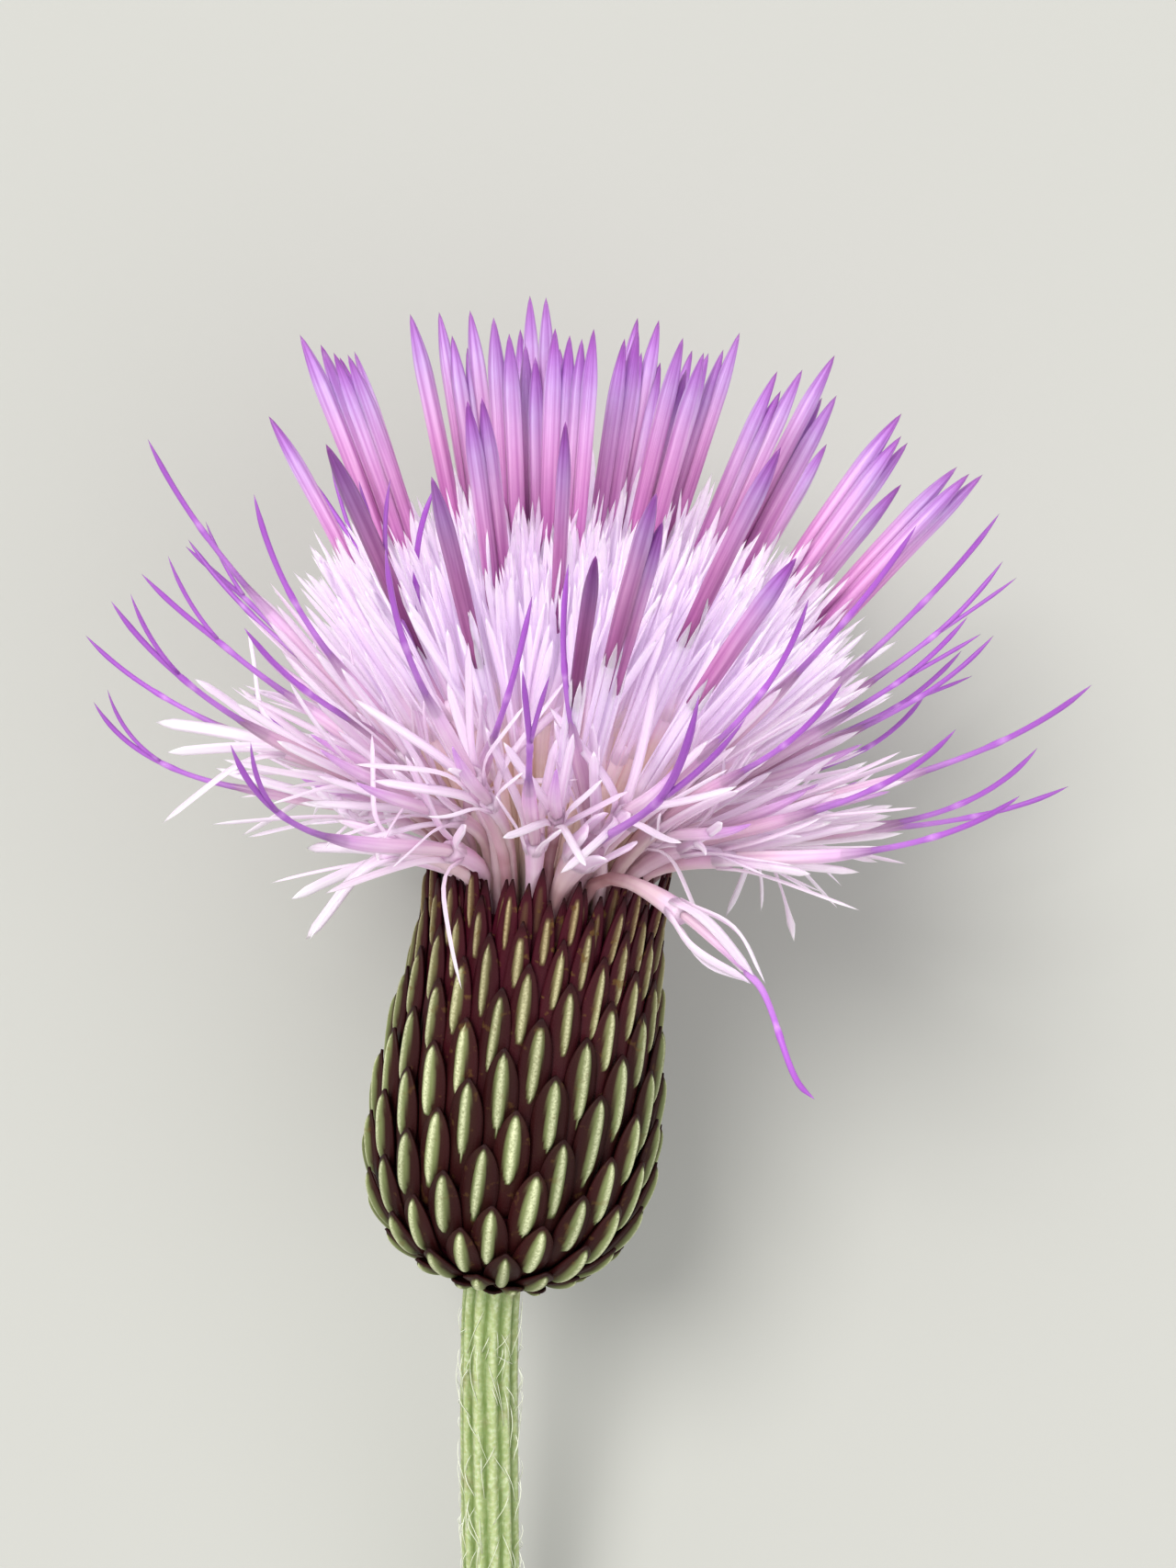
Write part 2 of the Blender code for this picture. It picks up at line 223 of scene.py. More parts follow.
class Skin:
    """The growing mesh of one piece, with the values that its finishes read."""

    def __init__(self, *tissues: Tissue) -> None:
        """Starts an empty skin.

        Args:
            *tissues: The tissues in it, in the order of its material slots.
        """
        self.tissues = list(tissues)
        self.points: list[Point] = []
        self.values: dict[str, list[Point]] = {"along": [], "across": [], "shade": [], "mark": []}
        self.faces: list[tuple[int, ...]] = []
        self.slots: list[int] = []
        self.count = 0

    def add(self, points: Point, **values: Point | float) -> int:
        """Adds points and their values.

        Args:
            points: One row per point, in the head's frame.
            **values: The values named along, across, shade and mark.

        Returns:
            The index of the first one.
        """
        first = self.count
        self.points.append(points)
        for name, rows in self.values.items():
            rows.append(np.broadcast_to(np.asarray(values.get(name, 0.0), float), len(points)))
        self.count += len(points)
        return first

    def face(self, corners: tuple[int, ...], tissue: Tissue) -> None:
        """Adds a face of a tissue."""
        self.faces.append(corners)
        self.slots.append(self.tissues.index(tissue))

    def stitch(self, near: int, far: int, sides: int, tissue: Tissue, flip: bool = False) -> None:
        """Joins two rings of points with a band of faces.

        Args:
            near: The first point of one ring.
            far: The first point of the other.
            sides: How many points each ring has.
            tissue: What the band is made of.
            flip: Whether its faces look the other way.
        """
        for k in range(sides):
            n = (k + 1) % sides
            a, b = (n, k) if flip else (k, n)
            self.face((near + a, near + b, far + b, far + a), tissue)

    def close(self, ring: int, sides: int, tip: int, tissue: Tissue, flip: bool = False) -> None:
        """Closes a ring of points with a fan of faces round a point.

        Args:
            ring: The ring's first point.
            sides: How many points it has.
            tip: The point in the middle.
            tissue: What the faces are made of.
            flip: Whether they look the other way.
        """
        for k in range(sides):
            n = (k + 1) % sides
            a, b = (n, k) if flip else (k, n)
            self.face((ring + a, ring + b, tip), tissue)

    def strand(
        self,
        path: Point,
        radii: Point,
        tissue: Tissue,
        shade: float,
        sides: int = 6,
        flat: float = 1.0,
        facing: Point | None = None,
        span: tuple[float, float] = (0.0, 1.0),
        ribs: int = 0,
        rib_depth: float = 0.0,
        mark: float = 0.0,
    ) -> None:
        """Adds a closed tube, strap or blade along a path; its last point is its tip.

        Args:
            path: Its centreline.
            radii: Its half width at each point.
            tissue: What it is made of.
            shade: Its own lightness, from 0 to 1.
            sides: How many corners its outline has.
            flat: Its thickness as a share of its width.
            facing: The side that a flat strand shows.
            span: The values of "along" at its ends.
            ribs: How many ribs run along it.
            rib_depth: Their depth as a share of the radius.
            mark: The value of "mark" all over it.
        """
        tangents = tangents_of(path)
        if facing is None:
            facing = np.cross(tangents[0], tangents[-1])
            nearly_straight = np.linalg.norm(facing) < 0.05
            if nearly_straight:
                facing = np.cross(tangents[0], SPARE_FACING)
        normals = facing - (tangents @ facing)[:, None] * tangents
        normals /= np.maximum(1e-9, np.linalg.norm(normals, axis=1))[:, None]
        sideways = np.cross(tangents, normals)
        angles = np.arange(sides) * math.tau / sides
        swell = 1 + rib_depth * np.cos(ribs * angles) if ribs else np.ones(sides)
        rings = path[:-1, None, :] + radii[:-1, None, None] * (
            (swell * np.cos(angles))[None, :, None] * sideways[:-1, None, :]
            + (swell * np.sin(angles) * flat)[None, :, None] * normals[:-1, None, :]
        )
        rows = len(path) - 1
        rings = LIE.lift(rings.reshape(-1, 3), SKIN_CLEARANCE, SKIN_SOFTNESS)
        along = np.repeat(np.linspace(span[0], span[1], rows + 1)[:-1], sides)
        across = np.tile(angles / math.tau, rows)
        first = self.add(rings, along=along, across=across, shade=shade, mark=mark)
        last = LIE.lift(path[-1:], SKIN_CLEARANCE, SKIN_SOFTNESS)
        tip = self.add(last, along=span[1], across=0.5, shade=shade, mark=mark)
        for ring in range(first, first + (rows - 1) * sides, sides):
            self.stitch(ring, ring + sides, sides, tissue)
        self.close(first + (rows - 1) * sides, sides, tip, tissue)
        self.face(tuple(first + k for k in reversed(range(sides))), tissue)

    def finish(self, name: str, slot: str, finishes: Finishes, *nodes: str) -> None:
        """Makes the piece's object, which rides on the root body.

        Args:
            name: The piece's name.
            slot: The record's material slot that the piece belongs to; it is not used.
            finishes: The material of each tissue.
            *nodes: The CAD nodes that it stands for.
        """
        mesh = bpy.data.meshes.new(name)
        mesh.from_pydata(LIE.place(np.concatenate(self.points)), [], self.faces)
        for value_name, rows in self.values.items():
            layer = mesh.attributes.new(value_name, "FLOAT", "POINT")
            layer.data.foreach_set("value", np.concatenate(rows).astype(np.float32))
        mesh.polygons.foreach_set("material_index", self.slots)
        for tissue in self.tissues:
            mesh.materials.append(finishes[tissue])
        mesh.shade_smooth()
        mesh.update()
        piece = bpy.data.objects.new(name, mesh)
        bpy.context.scene.collection.objects.link(piece)
        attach(piece, "root")
        if nodes:
            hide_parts(*nodes)
        LOG.info("%s: %d faces", name, len(self.faces))


# ---------------------------------------------------------------------------------------
# Finishes


class Weaver:
    """Places and links the nodes of one node tree."""

    def __init__(self, tree: bpy.types.NodeTree) -> None:
        """Works on a node tree."""
        self.tree = tree

    def node(self, kind: str, **settings: object) -> bpy.types.Node:
        """Adds a node.

        Args:
            kind: The node's type.
            **settings: Its properties.

        Returns:
            The node.
        """
        made = self.tree.nodes.new(kind)
        for name, value in settings.items():
            setattr(made, name, value)
        return made

    def feed(self, socket: bpy.types.NodeSocket, value: object) -> None:
        """Links a socket to a node's output, or sets its value.

        Args:
            socket: The input socket.
            value: An output socket, a number or a colour.
        """
        if isinstance(value, bpy.types.NodeSocket):
            self.tree.links.new(value, socket)
        elif isinstance(value, tuple) and len(value) == 3 and socket.type == "RGBA":
            socket.default_value = (*value, 1.0)
        else:
            socket.default_value = value

    def value(self, name: str) -> bpy.types.NodeSocket:
        """The output that reads one of a skin's values."""
        return self.node("ShaderNodeAttribute", attribute_name=name).outputs["Fac"]

    def maths(self, operation: str, *inputs: object, clamp: bool = False) -> bpy.types.NodeSocket:
        """The output of a Math node.

        Args:
            operation: What it works out.
            *inputs: Its inputs.
            clamp: Whether its result stays from 0 to 1.

        Returns:
            Its output.
        """
        made = self.node("ShaderNodeMath", operation=operation, use_clamp=clamp)
        for socket, value in zip(made.inputs, inputs):
            self.feed(socket, value)
        return made.outputs[0]

    def line(
        self, value: object, gain: float, offset: float, clamp: bool = False
    ) -> bpy.types.NodeSocket:
        """The output of a value times a gain plus an offset."""
        return self.maths("MULTIPLY_ADD", value, gain, offset, clamp=clamp)

    def mix(self, share: object, a: object, b: object, blend: str = "MIX") -> bpy.types.NodeSocket:
        """The colour between two colours.

        Args:
            share: How much of the second.
            a: The first colour.
            b: The second colour.
            blend: How they mix.

        Returns:
            The mixed colour's output.
        """
        made = self.node("ShaderNodeMix", data_type="RGBA", blend_type=blend)
        self.feed(made.inputs["Factor"], share)
        self.feed(made.inputs[6], a)
        self.feed(made.inputs[7], b)
        return made.outputs[2]

    def ramp(self, share: object, stops: tuple[tuple[float, Colour], ...]) -> bpy.types.NodeSocket:
        """The colour at a place on a ramp.

        Args:
            share: The place.
            stops: Each stop's place and colour.

        Returns:
            The ramp's output.
        """
        made = self.node("ShaderNodeValToRGB")
        elements = made.color_ramp.elements
        while len(elements) < len(stops):
            elements.new(1.0)
        for element, (place, colour) in zip(elements, stops):
            element.position = place
            element.color = (*colour, 1.0)
        self.feed(made.inputs["Fac"], share)
        return made.outputs["Color"]

    def group(self, tree: Group, **inputs: float) -> bpy.types.NodeSocket:
        """Places a node group.

        Args:
            tree: The group.
            **inputs: Values for its inputs, by name.

        Returns:
            The group's first output.
        """
        made = self.node("ShaderNodeGroup", node_tree=tree)
        for name, value in inputs.items():
            self.feed(made.inputs[name], value)
        return made.outputs[0]

    def shaded(self, colour: object, spread: float, darkest: float) -> bpy.types.NodeSocket:
        """The colour at each strand's own lightness.

        Args:
            colour: The colour.
            spread: How far the strands' lightness differs.
            darkest: The least lightness.

        Returns:
            The shaded colour's output.
        """
        made = self.node("ShaderNodeHueSaturation")
        self.feed(made.inputs["Color"], colour)
        self.feed(made.inputs["Value"], self.line(self.value("shade"), spread, darkest))
        return made.outputs[0]

    def relief(self, shader: bpy.types.Node, height: object, strength: float, depth: float) -> None:
        """Gives a shader's surface a fine relief.

        Args:
            shader: The surface's shader.
            height: The relief's height.
            strength: How strong it looks.
            depth: Its depth in millimetres.
        """
        bump = self.node("ShaderNodeBump")
        bump.inputs["Strength"].default_value = strength
        bump.inputs["Distance"].default_value = depth * MM
        self.feed(bump.inputs["Height"], height)
        self.feed(shader.inputs["Normal"], bump.outputs[0])


def new_material(name: str) -> tuple[bpy.types.Material, Weaver, bpy.types.Node]:
    """Starts a material.

    Args:
        name: Its name.

    Returns:
        The material, its weaver and its surface shader.
    """
    made = bpy.data.materials.new(name)
    made.use_nodes = True
    return made, Weaver(made.node_tree), made.node_tree.nodes["Principled BSDF"]


def new_group(
    name: str, inputs: dict[str, float], outputs: tuple[str, ...]
) -> tuple[Group, Weaver, bpy.types.Node, bpy.types.Node]:
    """Starts a shader node group.

    Args:
        name: The group's name.
        inputs: Its inputs and their first values.
        outputs: Its outputs.

    Returns:
        The group, its weaver, and its input and output nodes.
    """
    tree = bpy.data.node_groups.new(name, "ShaderNodeTree")
    for label, value in inputs.items():
        socket = tree.interface.new_socket(label, in_out="INPUT", socket_type="NodeSocketFloat")
        socket.default_value = value
    for label in outputs:
        tree.interface.new_socket(label, in_out="OUTPUT", socket_type="NodeSocketFloat")
    weaver = Weaver(tree)
    return tree, weaver, weaver.node("NodeGroupInput"), weaver.node("NodeGroupOutput")


def fibre_group() -> Group:
    """Draws fine lines that run along a strand, broken up so that no two strands match.

    Returns:
        The group.
    """
    inputs = {"Lines": 12.0, "Stretch": 3.0}
    tree, weave, given, result = new_group("FibreLines", inputs, ("Lines",))
    place = weave.node("ShaderNodeCombineXYZ")
    strand_apart = 37.0
    for axis, value, gain in (
        ("X", "across", given.outputs["Lines"]),
        ("Y", "along", given.outputs["Stretch"]),
        ("Z", "shade", strand_apart),
    ):
        weave.feed(place.inputs[axis], weave.maths("MULTIPLY", weave.value(value), gain))
    noise = weave.node("ShaderNodeTexNoise")
    noise.inputs["Scale"].default_value = 1.0
    noise.inputs["Detail"].default_value = 3.0
    weave.feed(noise.inputs["Vector"], place.outputs[0])
    weave.feed(result.inputs["Lines"], noise.outputs["Fac"])
    return tree


def mottle_group() -> Group:
    """Draws soft blotches at a size given in millimetres.

    Returns:
        The group.
    """
    tree, weave, given, result = new_group("Mottle", {"Size": 1.0, "Detail": 3.0}, ("Blotches",))
    spot = weave.node("ShaderNodeTexCoord")
    noise = weave.node("ShaderNodeTexNoise")
    weave.feed(noise.inputs["Vector"], spot.outputs["Object"])
    weave.feed(noise.inputs["Scale"], weave.maths("DIVIDE", 1 / MM, given.outputs["Size"]))
    weave.feed(noise.inputs["Detail"], given.outputs["Detail"])
    weave.feed(result.inputs["Blotches"], noise.outputs["Fac"])
    return tree


@dataclass(frozen=True)
class PetalFinish:
    """Thin, softly translucent petal tissue whose colour changes from root to tip."""

    name: str
    stops: tuple[tuple[float, Colour], ...]
    dark_streak: Colour
    streaks: float
    lines: float
    grooves: float = 0.0
    deep: Colour = (1.0, 1.0, 1.0)
    roughness: float = 0.5
    glow: float = 0.35
    # Strength of a painted glow: the petal gives off its own colour as light, standing in for light
    # that shines through the petals into the gaps between them.
    painted_glow: float = 0.13
    relief: float = 0.3
    relief_depth: float = 0.12
    blotch_size: float = 2.2
    scatter: float = 2.2
    shine: float = 0.35

    def material(self, fibres: Group, mottle: Group) -> bpy.types.Material:
        """Builds the material; "mark" is how deep in colour a strand is.

        Args:
            fibres: The group that draws lines along a strand.
            mottle: The group that draws blotches.

        Returns:
            The material.
        """
        made, weave, shader = new_material(self.name)
        blotch = weave.group(mottle, Size=self.blotch_size, Detail=2.0)
        drift = weave.line(blotch, 0.10, -0.05)
        jitter = weave.line(weave.value("shade"), 0.08, -0.04)
        place = weave.maths("ADD", weave.value("along"), weave.maths("ADD", drift, jitter))
        colour = weave.ramp(place, self.stops)
        fibre = weave.group(fibres, Lines=self.lines, Stretch=1.6)
        streak = weave.line(fibre, -3.0, 2.0, clamp=True)
        if self.grooves:
            turn = weave.maths("MULTIPLY", weave.value("across"), self.grooves * math.tau)
            groove = weave.line(weave.maths("COSINE", turn), -0.5, 0.5)
            streak = weave.maths("MAXIMUM", streak, weave.maths("POWER", groove, 2.5))
        share = weave.maths("MULTIPLY", streak, self.streaks)
        colour = weave.mix(share, colour, self.dark_streak, "MULTIPLY")
        colour = weave.mix(weave.value("mark"), colour, self.deep, "MULTIPLY")
        colour = weave.shaded(colour, 0.2, 0.88)
        weave.feed(shader.inputs["Base Color"], colour)
        # Painted glow: from about the cup's mouth up to the lobes, the petal gives off its own
        # colour as light, standing in for light shining through the petals and brightening the gaps
        # between them. Inside the cup it gives off none.
        painted_glow_share = weave.line(weave.value("along"), 5.0, -1.4, clamp=True)
        weave.feed(shader.inputs["Emission Color"], weave.mix(painted_glow_share, (0.0, 0.0, 0.0), colour))
        shader.inputs["Emission Strength"].default_value = self.painted_glow
        weave.feed(shader.inputs["Roughness"], weave.line(fibre, 0.2, self.roughness - 0.1))
        weave.relief(shader, fibre, self.relief, self.relief_depth)
        shader.inputs["Subsurface Weight"].default_value = self.glow
        shader.inputs["Subsurface Radius"].default_value = (1.0, 1.0, 1.0)
        shader.inputs["Subsurface Scale"].default_value = self.scatter * MM
        shader.inputs["Specular IOR Level"].default_value = self.shine
        return made


@dataclass(frozen=True)
class BractFinish:
    """A leathery bract: dark edge, olive middle and a pale raised ridge."""

    name: str = "bract_leaf"
    edge_low: Colour = tone(42, 8, 9)
    edge_high: Colour = tone(62, 6, 24)
    halo_low: Colour = tone(48, 26, 16)
    halo_high: Colour = tone(60, 12, 24)
    flank: Colour = tone(106, 114, 72)
    flank_high: Colour = tone(100, 76, 52)
    crest: Colour = tone(200, 204, 164)
    crest_high: Colour = tone(166, 148, 108)
    scar: Colour = tone(96, 70, 30)
    tip: Colour = tone(34, 6, 8)
    blotch_size: float = 0.9
    grain_size: float = 0.16
    relief: float = 0.45
    relief_depth: float = 0.1
    shine: float = 0.15

    def material(self, fibres: Group, mottle: Group) -> bpy.types.Material:
        """Builds the material; "mark" is the bract's place up the cup.

        Args:
            fibres: The group that draws lines along a strand.
            mottle: The group that draws blotches.

        Returns:
            The material.
        """
        made, weave, shader = new_material(self.name)
        high = weave.line(weave.value("mark"), 2.2, -1.2, clamp=True)
        fibre = weave.group(fibres, Lines=9.0, Stretch=2.0)
        blotch = weave.group(mottle, Size=self.blotch_size, Detail=4.0)
        grain = weave.group(mottle, Size=self.grain_size, Detail=2.0)
        edge = weave.mix(high, self.edge_low, self.edge_high)
        halo = weave.mix(high, self.halo_low, self.halo_high)
        patchy = weave.line(blotch, 1.6, 0.1, clamp=True)
        body = weave.mix(weave.maths("MULTIPLY", weave.value("halo"), patchy), edge, halo)
        flank = weave.mix(high, self.flank, self.flank_high)
        crest = weave.mix(high, self.crest, self.crest_high)
        crest = weave.mix(weave.line(grain, 2.0, -0.75, clamp=True), crest, flank)
        foot = weave.maths("MULTIPLY", weave.value("ridge"), 2.0, clamp=True)
        colour = weave.mix(foot, body, flank)
        colour = weave.mix(weave.line(weave.value("ridge"), 2.0, -1.0, clamp=True), colour, crest)
        scar = weave.line(blotch, 12.0, -7.4, clamp=True)
        scar = weave.maths("MULTIPLY", scar, weave.line(high, 0.6, 0.3))
        colour = weave.mix(scar, colour, self.scar)
        near_tip = weave.line(weave.value("along"), 12.0, -11.0, clamp=True)
        colour = weave.mix(near_tip, colour, self.tip)
        weave.feed(shader.inputs["Base Color"], weave.shaded(colour, 0.3, 0.85))
        weave.feed(shader.inputs["Roughness"], weave.line(blotch, 0.3, 0.42))
        height = weave.maths("ADD", fibre, weave.maths("MULTIPLY", grain, 0.5))
        weave.relief(shader, height, self.relief, self.relief_depth)
        shader.inputs["Specular IOR Level"].default_value = self.shine
        return made


@dataclass(frozen=True)
class StemFinish:
    """A ribbed green stem whose ribs are pale."""

    name: str = "stem_skin"
    groove: Colour = tone(96, 116, 54)
    rib: Colour = tone(158, 172, 116)
    pale: Colour = tone(206, 212, 184)
    blush: Colour = tone(120, 92, 70)
    blotch_size: float = 3.0
    grain_size: float = 0.35
    relief: float = 0.5
    relief_depth: float = 0.12
    glow: float = 0.12
    scatter: float = 1.0
    shine: float = 0.4

    def material(self, fibres: Group, mottle: Group) -> bpy.types.Material:
        """Builds the material; "mark" is 1 on a rib and 0 in a groove.

        Args:
            fibres: The group that draws lines along a strand.
            mottle: The group that draws blotches.

        Returns:
            The material.
        """
        made, weave, shader = new_material(self.name)
        fibre = weave.group(fibres, Lines=46.0, Stretch=9.0)
        blotch = weave.group(mottle, Size=self.blotch_size, Detail=4.0)
        fine = weave.group(mottle, Size=self.grain_size, Detail=3.0)
        rib = weave.maths("ADD", weave.value("mark"), weave.line(fibre, 0.9, -0.45), clamp=True)
        colour = weave.mix(rib, self.groove, self.rib)
        bloom = weave.maths("MULTIPLY", rib, weave.line(fine, 2.4, -1.0, clamp=True))
        colour = weave.mix(weave.maths("MULTIPLY", bloom, 0.8), colour, self.pale)
        colour = weave.mix(weave.line(blotch, 3.0, -1.75, clamp=True), colour, self.blush)
        weave.feed(shader.inputs["Base Color"], colour)
        weave.feed(shader.inputs["Roughness"], weave.line(fine, 0.3, 0.45))
        height = weave.maths("ADD", fibre, weave.maths("MULTIPLY", fine, 0.6))
        weave.relief(shader, height, self.relief, self.relief_depth)
        shader.inputs["Subsurface Weight"].default_value = self.glow
        shader.inputs["Subsurface Scale"].default_value = self.scatter * MM
        shader.inputs["Specular IOR Level"].default_value = self.shine
        return made


@dataclass(frozen=True)
class CutFinish:
    """The stem's cut end: pale pith inside a green rind; "across" runs from 0 at its middle."""

    name: str = "stem_cut"
    pith: Colour = tone(214, 214, 176)
    rind: Colour = tone(118, 134, 62)
    grain_size: float = 0.3
    relief: float = 0.6
    relief_depth: float = 0.15

    def material(self, _: Group, mottle: Group) -> bpy.types.Material:
        """Builds the material.

        Args:
            _: The group that draws lines along a strand, which a cut doesn't show.
            mottle: The group that draws blotches.

        Returns:
            The material.
        """
        made, weave, shader = new_material(self.name)
        fine = weave.group(mottle, Size=self.grain_size, Detail=4.0)
        ring = weave.maths("ADD", weave.value("across"), weave.line(fine, 0.5, -0.25))
        stops = ((0.0, self.pith), (0.55, self.pith), (0.75, self.rind), (1.0, self.rind))
        weave.feed(shader.inputs["Base Color"], weave.ramp(ring, stops))
        weave.feed(shader.inputs["Roughness"], weave.line(fine, 0.4, 0.4))
        weave.relief(shader, fine, self.relief, self.relief_depth)
        return made


COROLLA = PetalFinish(
    "disc_corolla",
    (
        # The brownish stops up to about 0.2 are painted shade on the tubes down in the cup. From
        # the mouth upwards the tubes are cream.
        (0.0, tone(180, 134, 126)),
        (0.2, tone(226, 192, 170)),
        (0.26, tone(247, 221, 192)),
        (0.42, tone(247, 224, 210)),
        (0.52, tone(240, 220, 236)),
        (0.66, tone(238, 222, 244)),
        (0.93, tone(243, 230, 250)),
        (1.0, tone(248, 238, 252)),
    ),
    tone(226, 192, 230), 0.45, 7.0, roughness=0.5, glow=0.9, painted_glow=0.17, relief=0.2,
    deep=tone(240, 214, 230),
)
RIM_COROLLA = PetalFinish(
    "rim_corolla",
    (
        # The dark brownish stops up to about 0.37 are painted shade: they darken the tubes where
        # they leave the cup's mouth among the bracts' tips.
        (0.0, tone(140, 96, 98)),
        (0.29, tone(164, 126, 126)),
        (0.37, tone(212, 188, 190)),
        (0.46, tone(226, 204, 222)),
        (0.54, tone(238, 218, 238)),
        (0.66, tone(240, 224, 246)),
        (0.95, tone(242, 228, 249)),
        (1.0, tone(246, 236, 251)),
    ),
    tone(216, 176, 210), 0.6, 6.0, roughness=0.46, glow=0.8, deep=tone(228, 206, 214),
)
ANTHER = PetalFinish(
    "anther_tube",
    (
        (0.0, tone(196, 112, 172)),
        (0.12, tone(206, 136, 190)),
        (0.36, tone(218, 164, 208)),
        (0.56, tone(214, 176, 218)),
        (0.72, tone(198, 168, 218)),
        (0.84, tone(176, 128, 200)),
        (0.93, tone(152, 84, 174)),
        (1.0, tone(116, 46, 136)),
    ),
    tone(192, 132, 190), 0.65, 13.0, grooves=5.0, roughness=0.42, glow=0.5, painted_glow=0.12,
    deep=tone(150, 96, 142),
)
RIM_ANTHER = PetalFinish(
    "rim_anther_tube",
    (
        (0.0, tone(232, 210, 214)),
        (0.5, tone(226, 198, 220)),
        (0.8, tone(206, 160, 212)),
        (1.0, tone(176, 110, 198)),
    ),
    tone(206, 160, 206), 0.4, 8.0, grooves=5.0, roughness=0.45, glow=0.5, painted_glow=0.08,
    deep=tone(220, 194, 196),
)
STYLE = PetalFinish(
    "style_thread",
    (
        (0.0, tone(196, 146, 208)),
        (0.3, tone(174, 108, 198)),
        (0.46, tone(164, 94, 192)),
        (0.5, tone(188, 130, 208)),
        (0.54, tone(160, 84, 188)),
        (1.0, tone(138, 60, 166)),
    ),
    tone(178, 116, 196), 0.3, 5.0, roughness=0.42, glow=0.3, painted_glow=0.06,
)
DOWN = PetalFinish(
    "stem_down",
    ((0.0, tone(206, 212, 180)), (1.0, tone(236, 238, 226))),
    tone(214, 216, 196), 0.3, 3.0, roughness=0.8, glow=0.2,
)


def make_finishes() -> Finishes:
    """Builds every material of the flower.

    Returns:
        The material of each tissue.
    """
    fibres, mottle = fibre_group(), mottle_group()
    looks = {
        Tissue.COROLLA: COROLLA, Tissue.RIM_COROLLA: RIM_COROLLA, Tissue.ANTHER: ANTHER,
        Tissue.RIM_ANTHER: RIM_ANTHER, Tissue.STYLE: STYLE, Tissue.DOWN: DOWN,
        Tissue.BRACT: BractFinish(), Tissue.STEM: StemFinish(), Tissue.CUT: CutFinish(),
    }
    return {tissue: look.material(fibres, mottle) for tissue, look in looks.items()}


# ---------------------------------------------------------------------------------------
# The stem


